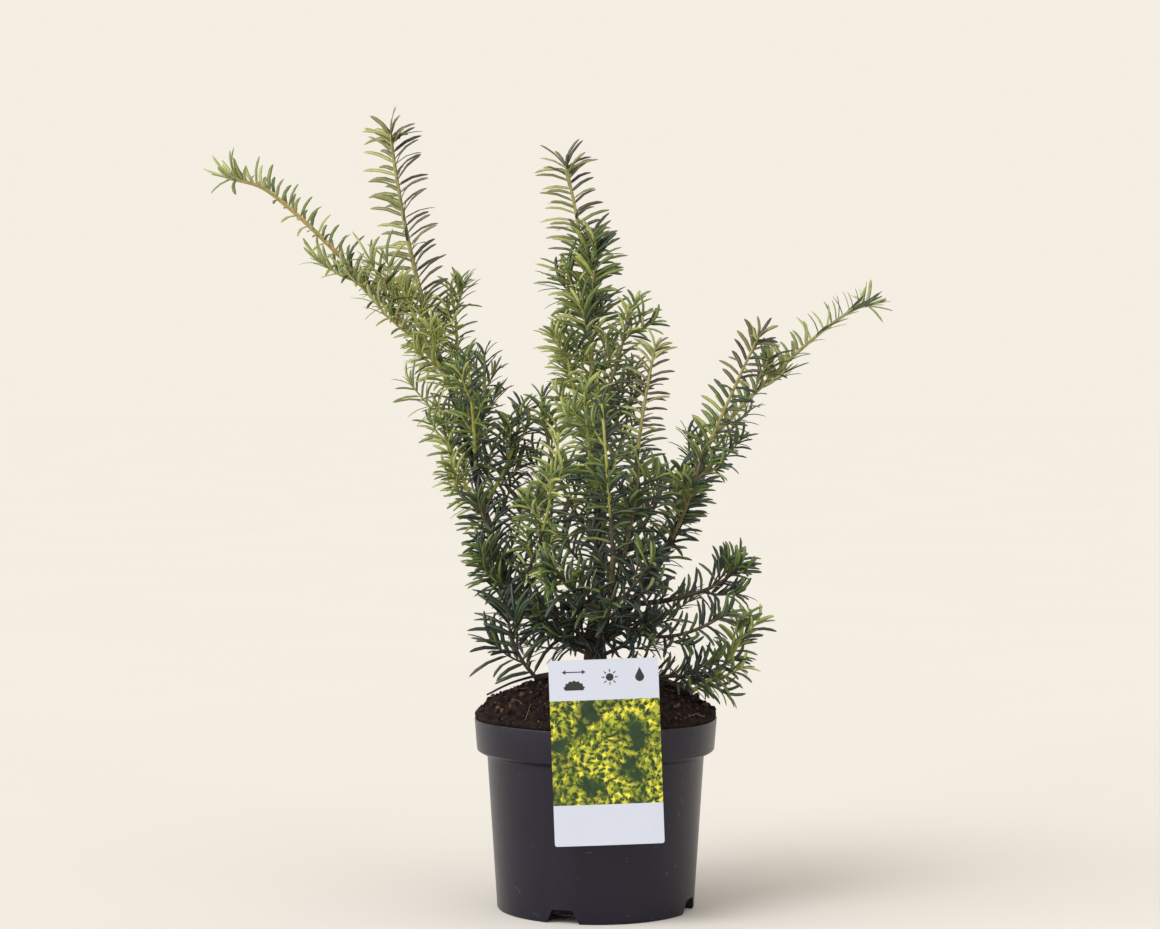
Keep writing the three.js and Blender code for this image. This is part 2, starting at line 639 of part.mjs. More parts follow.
// A point belongs to a mass if it is nearer to that mass's shoots than to any other's, with a
// clear layer between the two.
function isInOwnSpace(point, mass, masses, limbs) {
  const toOwn = Math.min(...mass.shoots.map((shoot) => pathDistance(point, shoot.points)));
  for (const other of masses) {
    if (other === mass) continue;
    for (const shoot of other.shoots) {
      if (pathDistance(point, shoot.points) < toOwn + 2 * NEEDLE.boundary) return false;
    }
  }
  for (const limb of limbs.values()) {
    if (pathDistance(point, limb.points) < limb.radiusAt(0.5) + NEEDLE.limbClearance) return false;
  }
  return point.z > soilHeight(Math.hypot(point.x, point.y)) + 2 * SOIL.lumpHeight;
}

// The needle's blank: two slim three-sided pyramids base to base, one edge along the top.
const NEEDLE_CORNERS = [0, 1, 0, 0, -1, 0, ...[90, 210, 330].flatMap(
  (angle) => [Math.cos(radians(angle)), 0, Math.sin(radians(angle))],
)];
const NEEDLE_FACES = [0, 3, 2, 0, 4, 3, 0, 2, 4, 1, 2, 3, 1, 3, 4, 1, 4, 2];

// A needle from its root, bent towards its shoot's tip, with its flat side half turned up.
function needleSolid(root, outward, over, along, length) {
  const bend = squareTo(outward, along);
  const width = new THREE.Vector3().crossVectors(outward, over.clone().add(bend)).normalize();
  const flat = new THREE.Vector3().crossVectors(width, outward).normalize();
  const geometry = new THREE.PolyhedronGeometry(NEEDLE_CORNERS, NEEDLE_FACES, 1, 0);
  const position = geometry.attributes.position;
  for (let i = 0; i < position.count; i += 1) {
    const isCorner = Math.abs(position.getY(i)) < 0.5;
    const share = isCorner ? NEEDLE.widestAt : Math.max(position.getY(i), 0);
    const bow = isCorner ? NEEDLE.bow * length : 0;
    const moved = root.clone()
      .addScaledVector(outward, share * length)
      .addScaledVector(width, (position.getX(i) * NEEDLE.width) / 2)
      .addScaledVector(flat, (position.getZ(i) * NEEDLE.thickness) / 2)
      .addScaledVector(bend, bow);
    position.setXYZ(i, moved.x, moved.y, moved.z);
  }
  return solidFrom(geometry);
}

// The part of `vector` that is square to `direction`, as a unit vector.
function squareTo(direction, vector) {
  return vector.clone().addScaledVector(direction, -vector.dot(direction)).normalize();
}

// The way a shoot turns the upper side of its ranks of needles.
function facing(shoot, weight) {
  const middle = new THREE.Vector3();
  for (const point of shoot.points) middle.addScaledVector(point, 1 / shoot.points.length);
  const front = weight * FACING.front * THREE.MathUtils.clamp(1 - middle.y / FACING.frontDepth, -1, 1);
  const out = (weight * FACING.out) / FACING.outReach;
  return new THREE.Vector3(middle.x * out, middle.y * out - front, FACING.up).normalize();
}

// The direction of needle number `index`: round the stem by the golden angle, pressed towards
// two ranks square to `over`, and raised on a stem that lies over.
function needleDirection(along, over, lift, index, seed, fromTip) {
  const drift = NEEDLE.turnVariation * (chance(seed, DRAW.needleTurn + index) - 0.5);
  const turn = radians(index * GOLDEN_ANGLE + drift);
  const lying = 1 - Math.abs(along.z);
  const away = new THREE.Vector3().crossVectors(along, over).multiplyScalar(Math.cos(turn))
    .addScaledVector(over, Math.sin(turn) * (1 - NEEDLE.flattening) + lift * lying)
    .normalize();
  const opened = 1 - Math.exp(-fromTip / NEEDLE.opening);
  const varied = NEEDLE.spreadVariation * (chance(seed, DRAW.needleSpread + index) - 0.5);
  const spread = radians(NEEDLE.tipSpread + (NEEDLE.spread - NEEDLE.tipSpread) * opened + varied);
  return along.clone().multiplyScalar(Math.cos(spread)).addScaledVector(away, Math.sin(spread));
}

// Distances from the tip at which a shoot's needles stand: a few close the tip, and the rest
// follow at an even spacing.
function needlePlaces(shoot, closing) {
  const places = [];
  for (let index = 0; index < closing; index += 1) places.push(1 + index);
  for (let place = NEEDLE.spacing; place < shoot.length - NEEDLE.footClear; place += NEEDLE.spacing) {
    places.push(place);
  }
  return places;
}

function needlesOn(shoot, shootIndex, mass, masses, limbs) {
  const needles = [];
  const closing = shootIndex === 0 ? NEEDLE.closingStem : NEEDLE.closingTwig;
  const face = facing(shoot, mass.front ?? 1);
  for (const [index, fromTip] of needlePlaces(shoot, closing).entries()) {
    const share = 1 - fromTip / shoot.length;
    const along = directionAlong(shoot.points, share);
    const seed = mass.seed * 10 + shootIndex;
    const over = squareTo(along, face);
    const outward = needleDirection(along, over, mass.lift ?? NEEDLE.lift, index, seed, fromTip);
    const root = pointAlong(shoot.points, share);
    const varied = 1 + NEEDLE.sizeVariation * (chance(seed, DRAW.needleSize + index) - 0.5);
    const size = NEEDLE.length * varied * (1 - NEEDLE.shortening * (share - 0.2));
    for (const shorter of NEEDLE.shorter) {
      const length = size * shorter;
      const probes = [0.3, 0.65, 1].map((place) => root.clone().addScaledVector(outward, place * length));
      if (probes.every((probe) => isInOwnSpace(probe, mass, masses, limbs))) {
        needles.push(needleSolid(root, outward, over, along, length));
        break;
      }
    }
  }
  return needles;
}

// One mass of foliage: its shoots and their needles in one body, cut clear of its limb.
function makeMass(mass, masses, limbs) {
  const pieces = mass.shoots.map(
    (shoot) => rod(shoot.points, taper(shoot.radius, shoot.tipRadius), TWIG.sides),
  );
  mass.shoots.forEach((shoot, index) => pieces.push(...needlesOn(shoot, index, mass, masses, limbs)));
  let solid = wasm.Manifold.union(pieces);
  for (const limb of limbs.values()) {
    if (limb.name === mass.on || limbs.get(mass.on).on === limb.name) {
      solid = solid.subtract(limbSolid(limb, SEAT_GAP));
    }
  }
  return largestPiece(solid);
}

// ---------------------------------------------------------------- the whole object

const yew = new THREE.Group();

const limbPlan = planLimbs();
const massPlan = planStems(limbPlan);
massPlan.forEach((mass) => addTwigs(mass, massPlan, limbPlan));

yew.add(namedMesh('pot', makePot(), 'pot'));
yew.add(namedMesh('potting_soil', makeSoil(makeLabel(SEAT_GAP)), 'soil'));
yew.add(namedMesh('plant_label', makeLabel(0), 'label'));
for (const [name, solid] of makeLimbs(limbPlan)) {
  yew.add(namedMesh(name, solid, 'bark'));
}
for (const mass of massPlan) {
  yew.add(namedMesh(mass.name, makeMass(mass, massPlan, limbPlan), 'foliage'));
}

export default yew;
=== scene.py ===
"""A young English yew with several stems, in its round nursery pot with a picture label.

The plant grows by the same rule as its solids: limbs and stems turn from one bearing and lean
to another, side twigs and needles leave them by the golden angle, and the same draws vary them.
Sizes are millimetres and angles degrees; meshes are made in metres, +Z up, with the label on
the -Y side and the origin in the middle of the pot's underside.
"""

import math
from collections import namedtuple

import bpy
import numpy as np
from mathutils import Euler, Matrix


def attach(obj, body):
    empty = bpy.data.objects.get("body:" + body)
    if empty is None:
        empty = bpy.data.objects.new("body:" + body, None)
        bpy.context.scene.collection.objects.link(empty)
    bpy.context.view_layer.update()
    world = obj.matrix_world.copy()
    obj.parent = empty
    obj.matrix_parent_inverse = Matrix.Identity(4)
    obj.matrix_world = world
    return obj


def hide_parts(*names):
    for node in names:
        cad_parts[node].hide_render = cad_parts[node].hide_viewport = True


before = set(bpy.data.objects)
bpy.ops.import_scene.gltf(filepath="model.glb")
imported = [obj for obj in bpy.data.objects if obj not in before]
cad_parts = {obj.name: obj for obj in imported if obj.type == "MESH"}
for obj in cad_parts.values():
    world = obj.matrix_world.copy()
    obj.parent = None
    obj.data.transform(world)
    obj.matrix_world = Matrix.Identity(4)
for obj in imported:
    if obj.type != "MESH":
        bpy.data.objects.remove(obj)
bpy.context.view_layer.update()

MM = 0.001
UP = np.array([0.0, 0.0, 1.0])
GOLDEN_ANGLE = 137.508
SEAT_GAP = 0.3

# ------------------------------------------------------------------ driving dimensions

POT = dict(height=133, rim=85, collar_foot=83.2, collar_depth=22, step=4, body=76, base=69,
           wall=1.6, floor=6, recess=3, ring=9, pad=20, pad_bevel=2, pad_clear=0.2, sides=240)
COLLAR = POT["height"] - POT["collar_depth"]
SHOULDER = COLLAR - POT["step"]
# how far its corners are rounded
POT_EDGE = dict(pad=0.6, ring=0.5, foot=1.2, bend=1.0, rim=0.55, lip=0.5, floor=1.5)
# how far its rim is out of round, in three and in seven lobes, and out of level
POT_WAVER = dict(three=0.0024, seven=0.0012, lift=0.25)
NOTCH = dict(count=4, bearing=250.5, top=14, foot=24, height=9.5, inner=57, below=5,
             corner_width=1.2, corner_height=2)

SOIL = dict(crown=160, flat=13, spill=84.4, spill_height=136, fall=2.3, lump=1.1, calm=9,
            calm_over=10, ragged=72, ragged_over=12, ragged_waves=60, ragged_share=0.009,
            sides=420, rings=150)
CRUMB = dict(count=900, size=0.5, size_range=1.9, length=1.3, width=0.8, width_range=0.4,
             height=0.7, proud=0.35)
FIBRE = dict(count=34, length=5, length_range=14, curl=2.5, lift=0.3, arch=1.2, radius=0.14,
             radius_range=0.12, points=8)

LABEL = dict(width=73.5, height=124.7, thickness=0.7, corner=1.6, x=6.8, z=119.7, tilt=2.1,
             bow=0.7, picture_low=0.22, picture_high=0.783, tongue=22, tongue_foot=115,
             tongue_y=-78.4, tongue_top=16, tongue_bend=1.6, tongue_half=0.3, bridge=138)
INK = dict(proud=0.04, depth=0.1)

TRUNK = dict(length=33, bearing=110, lean=3, base=7.8, top=6.6, flare=3.4, flare_height=7)

LimbPlan = namedtuple("LimbPlan", "name on at shift bearing lean tip_bearing tip_lean length bend "
                      "radius tip_radius")
LIMBS = [
    ("bough_left", "trunk", 0.66, None, 178, 80, 161, 13, 150, 1.8, 3.6, 2.4),
    ("stem_left", "bough_left", 1, None, 162, 15, 165, 21, 96, 1, 2.4, 1.9),
    ("bough_centre", "trunk", 1, (-2.6, 1.2), 20, 8, 153, 9, 142, 1, 3.2, 2.0),
    ("bough_inner", "trunk", 1, (3.4, -2.2), 323, 27, 344, 8, 99, 1.4, 2.4, 1.8),
    ("bough_right", "trunk", 0.68, None, 355, 44, 339, 14, 164, 1, 3.4, 2.0),
    ("bough_front", "trunk", 0.5, None, 284, 60, 278, 14, 92, 1, 2.8, 1.9),
    ("bough_back", "trunk", 0.6, None, 84, 56, 88, 18, 132, 1, 3.2, 2.0),
    ("bough_low_right", "bough_right", 0.24, None, 336, 88, 342, 74, 40, 1, 2.0, 1.6),
    ("bough_rim_right", "trunk", 0.25, None, 338, 92, 348, 112, 72, 1, 2.1, 1.6),
    ("bough_low_left", "trunk", 0.27, None, 206, 98, 206, 100, 46, 1, 2.1, 1.6),
    ("dead_twig_left", "bough_low_left", 0.5, None, 188, 94, 196, 128, 58, 0.5, 1.2, 0.7),
]
LIMB_STEP = 22

MassPlan = namedtuple("MassPlan", "name on at bearing lean tip_bearing tip_lean length bend twigs "
                      "twig_length")
MASSES = [
    ("leader_left", "stem_left", 1, 161, 19, 147, 8, 166, 1, 0, 24),
    ("arch_left", "stem_left", 0.86, 195, 41, 354, 162, 216, 0.2, 3, 38),
    ("column_left_inner", "bough_left", 0.9, 4, 36, 12, 6, 76, 1, 3, 26),
    ("column_left_outer", "bough_left", 0.82, 205, 36, 150, 16, 86, 1, 2, 22),
    ("column_left_front", "stem_left", 0.08, 272, 46, 210, 8, 92, 1, 2, 26),
    ("column_left_back", "stem_left", 0.14, 76, 46, 110, 8, 90, 1, 3, 26),
    ("column_left_top", "stem_left", 0.62, 43, 8, 161, 14, 99, 1, 2, 24),
    ("column_left_crest", "stem_left", 0.74, 226, 36, 180, 24, 84, 1, 2, 24),
    ("shoot_front_left", "bough_left", 0.46, 294, 56, 303, 8, 137, 1, 3, 26),
    ("spray_left_low", "bough_left", 0.4, 222, 52, 200, 36, 50, 1, 2, 24),
    ("leader_centre", "bough_centre", 1, 11, 3, 167, 14, 186, 1, 6, 32),
    ("centre_top_left", "bough_centre", 0.86, 199, 21, 170, 7, 96, 1, 3, 28),
    ("centre_top_right", "bough_centre", 0.92, 328, 19, 8, 17, 105, 1, 3, 30),
    ("centre_left", "bough_centre", 0.42, 176, 38, 150, 4, 112, 1, 3, 26),
    ("centre_front", "bough_centre", 0.52, 262, 44, 220, 6, 104, 1, 3, 26),
    ("centre_back", "bough_centre", 0.48, 96, 46, 100, 8, 112, 1, 3, 28),
    ("centre_right", "bough_centre", 0.66, 30, 34, 60, 5, 96, 1, 3, 26),
    ("leader_inner", "bough_inner", 1, 340, 5, 355, 12, 104, 1, 0, 20),
    ("inner_front", "bough_inner", 0.45, 286, 46, 320, 8, 86, 1, 3, 26),
    ("arch_right", "bough_right", 1, 346, 43, 79, 102, 184, 0.5, 3, 26),
    ("side_right", "bough_right", 0.9, 312, 30, 318, 32, 106, 1, 1, 20),
    ("side_right_back", "bough_right", 0.88, 62, 58, 36, 52, 74, 1, 2, 22),
    ("right_front", "bough_right", 0.52, 296, 50, 330, 14, 84, 1, 3, 26),
    ("right_back", "bough_right", 0.56, 66, 50, 40, 12, 86, 1, 3, 28),
    ("spray_low_right", "bough_low_right", 1, 346, 78, 339, 46, 44, 1, 3, 24),
    ("spray_droop_right", "bough_right", 0.14, 306, 112, 350, 56, 96, 1, 3, 28),
    ("spray_rim_right", "bough_rim_right", 1, 346, 62, 336, 10, 66, 1, 4, 26),
    ("spray_rim_hanging", "bough_rim_right", 0.6, 352, 80, 356, 124, 54, 1, 1, 18),
    ("spray_rim_left", "bough_low_left", 1, 206, 46, 200, 4, 54, 1, 3, 28),
    ("leader_front", "bough_front", 1, 240, 8, 200, 5, 104, 1, 3, 26),
    ("spray_front_left", "bough_front", 0.5, 218, 66, 226, 40, 66, 1, 3, 28),
    ("spray_front_right", "bough_front", 0.56, 318, 60, 306, 38, 60, 1, 3, 26),
    ("leader_back", "bough_back", 1, 92, 20, 78, 10, 112, 1, 4, 28),
    ("spray_back_left", "bough_back", 0.5, 146, 58, 134, 26, 92, 1, 4, 30),
    ("spray_back_right", "bough_back", 0.56, 30, 58, 46, 24, 92, 1, 4, 30),
    ("spray_low_front_left", "trunk", 0.78, 240, 78, 226, 50, 56, 1, 2, 28),
    ("spray_low_front_right", "trunk", 0.72, 300, 78, 316, 50, 54, 1, 2, 28),
    ("spray_low_back_left", "trunk", 0.45, 148, 76, 158, 46, 84, 1, 3, 30),
    ("spray_low_back_right", "trunk", 0.42, 36, 76, 24, 46, 88, 1, 3, 30),
]

TWIG = dict(first=0.14, last=0.84, spread=36, follow=1.2, rise=0.3, variation=0.3, longest=1.15,
            shortening=0.5, step=24, clearance=7, radius=0.9, tip_radius=0.6)
STEM = dict(radius=1.5, tip_radius=0.9)
FINER = dict(first=0.1, reach=0.74, turn=70, spread=38, rise=0.45, scale=0.9, length=0.75,
             length_range=0.5, on_twig=0.35, on_twig_scale=0.6, clearance=3, slimness=0.8)
LIMB_TWIG = dict(every=32, first=0.3, spread=58, rise=0.6, length=40, shortest=0.7,
                 length_range=0.6, clearance=3, above_soil=3)
SHOOT = dict(step=3.0, twig_step=2.5, sides=8, twig_sides=6, ridge=0.05, bud=0.35, bud_at=1.6,
             bud_spread=1.5, old_from=70, old_below=320)
BARK = dict(step=1.0, ridge=2.6, ridge_length=11, sway=0.4, sway_length=16, flake_length=2.4,
            ridge_depth=0.055, flake_depth=0.014, swelling=0.28, swelling_reach=6, young_from=0.72,
            sides=24, trunk_sides=40, sunk=3)

NEEDLE = dict(length=19, width=2.0, thickness=0.75, bow=0.085, droop=0.06, tip_spread=32,
              opening=20, star_opening=13, star_spread=14, burst=42, burst_at=3.4, burst_reach=2.4,
              flattening=0.62, shortening=0.15, closing=12, star_reach=8, foot_clear=2)
# how much needles differ in turn, angle, length, roll, width and sideways bow
VARIED = dict(turn=34, spread=20, length=0.36, roll=0.9, width=0.3, sway=0.04)
# how strongly needles turn their upper sides up, to the front and away from the trunk
FACING = dict(up=0.8, front=1.0, front_depth=45, out=0.5, out_reach=150)
# how a needle's tint falls deep and low inside the crown and where it points to the back, both
# painted shade, and how it varies
TINT = dict(tip_reach=16, painted_inner_shade=1.3, painted_shade_radius=80, painted_shade_height=330, painted_shade_over=130, front=0.4,
            by_shoot=1.0, by_needle=2.6)
# how far needles keep from wood, soil, pot and label
CLEAR = dict(wood=0.6, soil=2.5, pot=1, hanging=22, label_side=2, label=3)

# How each mass looks: its needles' tint (0 shade to 4 fresh) and size, how many finer twigs its
# stem carries and that stem's colour when young. Then the angle of its needles to their shoot, how
# far apart they stand, how broad they are, how far they rise on a lying stem, how strongly they
# face the front, how much its tip is a star of needles and their size there. Then the share of the
# stem past which it has no twigs, how much painted light from the left lamps its needles take (paler
# pointing left, darker pointing right), how stout its stem is, how much fresher its tip is, and by
# how much its stem stops short, so that needles reach its end.
Look = namedtuple("Look", "tint size finer stem spread spacing breadth lift front star end last sunny "
                  "stout tip short", defaults=[74, 2.0, 1.0, 0.3, 1.0, 0, 0.85, 1.0, 0.7, 1.0, 0.7, 0])
FOLIAGE = {
    "left_leaders": {
        "leader_left": Look(2.4, 1.42, 0, "straw", 70, 1.85, 1.6, star=1, end=0.95, sunny=1.5,
                            stout=1.3, tip=-0.6, short=5),
        "arch_left": Look(3.2, 1.18, 9, "honey", 74, 2.1, 1.15, lift=1.0, front=0.3, star=0.9,
                          end=1.1, last=0.45, sunny=0.5, stout=1.35, tip=0.9, short=10),
    },
    "left_column": {
        "column_left_inner": Look(1.3, 1.0, 4, "green"),
        "column_left_outer": Look(2.4, 1.0, 4, "green"),
        "column_left_front": Look(1.7, 1.0, 3, "green", spacing=2.2),
        "column_left_back": Look(1.2, 1.0, 3, "green", spacing=2.3),
        "column_left_top": Look(2.6, 0.95, 3, "green", last=0.75, short=14),
        "column_left_crest": Look(3.7, 0.95, 4, "green"),
        "shoot_front_left": Look(2.0, 1.05, 2, "green"),
        "spray_left_low": Look(1.0, 1.2, 4, "olive"),
    },
    "centre": {
        "leader_centre": Look(2.7, 1.35, 5, "straw", 72, 1.8, 1.4, star=1, end=1.0, last=0.62,
                              sunny=0.9, stout=1.2, tip=-0.5),
        "centre_top_left": Look(2.8, 0.95, 3, "green", spacing=2.2),
        "centre_top_right": Look(2.4, 0.95, 3, "olive", spacing=2.2),
        "centre_left": Look(1.7, 1.0, 2, "olive", spacing=2.8),
        "centre_front": Look(1.9, 1.0, 2, "green", 74, 2.8, 1.1),
        "centre_back": Look(1.3, 0.95, 0, "olive", 74, 3.8, 1.1),
        "centre_right": Look(1.9, 0.92, 1, "olive", spacing=2.7),
    },
    "inner": {
        "leader_inner": Look(2.8, 1.03, 0, "straw", 74, 2.3, 1.2, star=0.6),
        "inner_front": Look(1.6, 1.0, 1, "olive", 74, 2.6, 1.15),
        "leader_front": Look(1.2, 1.05, 0, "green", 74, 2.9, 1.2),
        "spray_front_left": Look(1.1, 1.12, 1, "brown", 76, 2.8, 1.25),
        "spray_front_right": Look(0.7, 1.1, 0, "brown", 76, 2.9, 1.25),
    },
    "right": {
        "arch_right": Look(2.6, 1.05, 2, "straw", 68, 2.6, 1.35, lift=1.4, front=0.3, star=0.85,
                           end=1.0, last=0.3, tip=0.5, short=9),
        "side_right": Look(2.1, 1.04, 0, "straw", 66, 2.3, 1.25, lift=0.6, front=0.6, star=0.8,
                           end=1.0, last=0.3, tip=0.0, short=3),
        "side_right_back": Look(1.6, 0.95, 0, "olive", spacing=2.7, lift=0.5),
        "right_front": Look(1.4, 0.9, 1, "olive", 74, 2.9, 1.1),
        "right_back": Look(1.2, 1.0, 0, "brown", 74, 3.4, 1.1),
    },
    "low": {
        "spray_low_right": Look(1.2, 1.08, 1, "brown", 76, 2.8, 1.2),
        "spray_droop_right": Look(1.1, 1.05, 0, "brown", 76, 3.3, 1.2),
        "spray_rim_right": Look(2.3, 0.98, 0, "green", 74, 2.9, 1.1),
        "spray_rim_hanging": Look(1.6, 0.95, 1, "brown", 74, 2.7, 1.1),
        "spray_rim_left": Look(0.2, 1.52, 0, "brown", 76, 2.7, 1.4, sunny=0),
        "spray_low_front_left": Look(0.5, 1.1, 4, "brown", 76, 2.8, 1.2),
        "spray_low_front_right": Look(0.4, 1.15, 1, "brown", 76, 2.8, 1.25),
        "spray_low_back_left": Look(0.6, 1.1, 0, "brown", 76, 3.6, 1.2),
        "spray_low_back_right": Look(0.6, 1.1, 0, "brown", 76, 3.6, 1.2),
    },
    "back": {
        "leader_back": Look(1.5, 1.0, 0, "olive", 74, 3.7, 1.1),
        "spray_back_left": Look(1.1, 1.05, 0, "brown", 74, 3.3, 1.15),
        "spray_back_right": Look(1.1, 1.05, 0, "brown", 74, 3.3, 1.15),
    },
}
# limbs that carry twigs and needles of their own: the group that these join, the share of the
# limb's length from which it carries needles, and their look
Leafy = namedtuple("Leafy", "group start look")
LEAFY_LIMBS = {
    "stem_left": Leafy("left_column", 0.0, Look(2.6, 1.15, 0, "green")),
    "bough_left": Leafy("left_column", 0.03, Look(0.9, 1.28, 8, "olive", 74, 2.1, 1.15)),
    "bough_centre": Leafy("centre", 0.3, Look(1.3, 1.0, 0, "olive", 74, 2.8, 1.1)),
    "bough_inner": Leafy("inner", 0.3, Look(1.2, 1.0, 0, "olive", 74, 2.4, 1.1)),
    "bough_right": Leafy("right", 0.25, Look(1.4, 0.95, 0, "olive", 70, 2.7, 1.1)),
    "bough_front": Leafy("inner", 0.1, Look(0.7, 1.05, 0, "brown", 76, 2.9, 1.25)),
    "bough_back": Leafy("back", 0.3, Look(0.8, 1.0, 1, "brown", 74, 3.6, 1.1)),
    "bough_low_right": Leafy("low", 0.2, Look(0.6, 1.05, 0, "brown", 76, 2.4, 1.2)),
    "bough_rim_right": Leafy("low", 0.2, Look(1.0, 1.05, 5, "brown", 72, 2.1, 1.15)),
}
LOOKS = {name: look for masses in FOLIAGE.values() for name, look in masses.items()}
LOOKS.update({name: leafy.look for name, leafy in LEAFY_LIMBS.items()})
# how far below its tip a leader's own needles are bronzed
BRONZED = {"leader_left": 170, "leader_centre": 95, "leader_inner": 60, "side_right": 40}

# where the camera stands, how far it looks down, its focal length and its sensor's width
CAMERA = dict(x=-10.9, y=-1808, z=354, tilt=1.39, lens=80.16, sensor=36)
BACKDROP = (245, 238, 227)
FLOOR_RADIUS, FLOOR_SIDES = 60_000, 96
# name, bearing, height, how wide it looks, strength, colour
LAMPS = [
    ("key_lamp", 226, 54, 26, 1.3, (1, 0.98, 0.95)),
    ("side_lamp", 206, 12, 70, 2.8, (0.97, 0.97, 1)),
    ("fill_lamp", 320, 30, 50, 0.5, (0.97, 0.98, 1)),
]

# ------------------------------------------------------------------ numbers that vary


def draw(angle):
    """A repeatable value from 0 to 1: what a large sine of an angle leaves past a whole number."""
    wave = np.sin(angle) * 43758.5453
    return wave - np.floor(wave)


def chance(seed, index):
    """The draw at an angle that grows steadily with the seed and with the index."""
    return draw(seed * 12.9898 + np.asarray(index, float) * 78.233)


def swing(width, seed, index):
    """A repeatable value within half of `width` to either side of 0."""
    return width * (chance(seed, index) - 0.5)


def soft_noise(x, y, seed, around=0):
    """Noise from -1 to 1: draws at the whole-numbered places of a plane, blended by an S-curve.
    `around` makes x repeat."""
    def place(column, row):
        return draw(column * 127.1 + row * 311.7 + seed * 74.7)

    column, row = np.floor(x), np.floor(y)
    u, v = x - column, y - row
    u, v = u * u * (3 - 2 * u), v * v * (3 - 2 * v)
    after = column + 1
    if around:
        column, after = column % around, after % around
    low = place(column, row) * (1 - u) + place(after, row) * u
    high = place(column, row + 1) * (1 - u) + place(after, row + 1) * u
    return 2 * (low * (1 - v) + high * v) - 1


# ------------------------------------------------------------------ paths


def unit(vectors):
    """Vectors divided by their own lengths."""
    return vectors / np.maximum(np.linalg.norm(vectors, axis=-1, keepdims=True), 1e-12)


def heading(bearing, lean):
    """The unit direction that leans away from the vertical, towards a bearing."""
    bearing, lean = math.radians(bearing), math.radians(lean)
    out = math.sin(lean)
    return np.array([out * math.cos(bearing), out * math.sin(bearing), math.cos(lean)])


def full_turn(sides):
    """Angles spread evenly over a full turn."""
    return np.arange(sides) * 2 * math.pi / sides


def grow_path(start, first, last, length, bend, steps):
    """A path whose direction turns from `first` to `last`; each step adds the direction at its
    middle, and `bend` above 1 makes it turn sooner."""
    left = (1 - (np.arange(steps) + 0.5) / steps) ** bend
    direction = unit(last + (first - last) * left[:, None])
    return np.vstack([start, start + np.cumsum(direction, axis=0) * length / steps])


def path_length(points):
    """The sum of the lengths of a path's straight steps."""
    return np.linalg.norm(np.diff(points, axis=0), axis=1).sum()


def point_along(points, share):
    """The point at a share of a path's steps, on the straight line between the points beside it."""
    place = np.clip(np.asarray(share, float), 0, 1) * (len(points) - 1)
    before = np.minimum(place.astype(int), len(points) - 2)
    return points[before] + (points[before + 1] - points[before]) * (place - before)[..., None]


def direction_along(points, share):
    """A path's direction at a share of it: from half a step before to half a step after."""
    share, reach = np.asarray(share, float), 0.5 / (len(points) - 1)
    return unit(point_along(points, share + reach) - point_along(points, share - reach))


def across(direction, angle):
    """A unit vector square to `direction`, turned by `angle` round it from the level one."""
    level = np.cross(direction, UP)
    size = np.linalg.norm(level, axis=-1, keepdims=True)
    level = np.where(size < 0.02, np.array([1.0, 0.0, 0.0]), level / np.maximum(size, 1e-9))
    turn = np.radians(np.asarray(angle, float))[..., None]
    return level * np.cos(turn) + np.cross(direction, level) * np.sin(turn)


def smooth_path(points, spacing):
    """The cubic curve through a path's points, each point's tangent half the step between its
    neighbours, cut into pieces of about `spacing`."""
    count = max(int(round(path_length(points) / spacing)), 2)
    p = np.vstack([2 * points[0] - points[1], points, 2 * points[-1] - points[-2]])
    place = np.linspace(0, len(points) - 1, count + 1)
    i = np.minimum(place.astype(int), len(points) - 2)
    t = (place - i)[:, None]
    a, b, c, d = p[i], p[i + 1], p[i + 2], p[i + 3]
    return 0.5 * (2 * b + (c - a) * t + (2 * a - 5 * b + 4 * c - d) * t ** 2
                  + (3 * b - a - 3 * c + d) * t ** 3)


def straight_pieces(paths):
    """The starts and the ends of every path's straight steps."""
    return np.vstack([path[:-1] for path in paths]), np.vstack([path[1:] for path in paths])


def nearest(points, starts, ends):
    """Each point's distance to each straight piece, as an array of points by pieces."""
    span = ends - starts
    from_start = points[:, None, :] - starts[None]
    share = np.clip((from_start * span).sum(-1) / (span ** 2).sum(-1), 0, 1)
    return np.linalg.norm(from_start - share[..., None] * span, axis=-1)


# ------------------------------------------------------------------ the plant's plan

Limb = namedtuple("Limb", "name path radius tip_radius")
Shoot = namedtuple("Shoot", "mass order path length radius tip_radius seed")


def trunk_radius(share):
    """A straight taper with a root flare that dies away exponentially with height."""
    flare = TRUNK["flare"] * np.exp(-share * TRUNK["length"] / TRUNK["flare_height"])
    return TRUNK["base"] + (TRUNK["top"] - TRUNK["base"]) * share + flare


def grow(parent, plan, step, shift=None):
    """The path of a limb or stem, which starts on its parent, or a gap past its end, and turns
    from its plan's first bearing and lean to its last."""
    start = point_along(parent.path, plan.at)
    if plan.at == 1:
        start = start + direction_along(parent.path, 1) * SEAT_GAP
    if shift:
        start = start + np.array([*shift, 0.0])
    steps = max(3, int(plan.length / step + 0.5))
    return grow_path(start, heading(plan.bearing, plan.lean), heading(plan.tip_bearing, plan.tip_lean),
                     plan.length, plan.bend, steps)


def plan_limbs():
    """The trunk, which leaves the soil upright and turns to its lean, and all limbs on it."""
    foot = np.array([0.0, 0.0, SOIL["crown"] + SEAT_GAP])
    upwards = heading(TRUNK["bearing"], TRUNK["lean"])
    path = grow_path(foot, UP, upwards, TRUNK["length"], 1, 6)
    limbs = {"trunk": Limb("trunk", path, TRUNK["base"], TRUNK["top"])}
    for plan in map(LimbPlan._make, LIMBS):
        path = grow(limbs[plan.on], plan, LIMB_STEP, plan.shift)
        limbs[plan.name] = Limb(plan.name, path, plan.radius, plan.tip_radius)
    return limbs


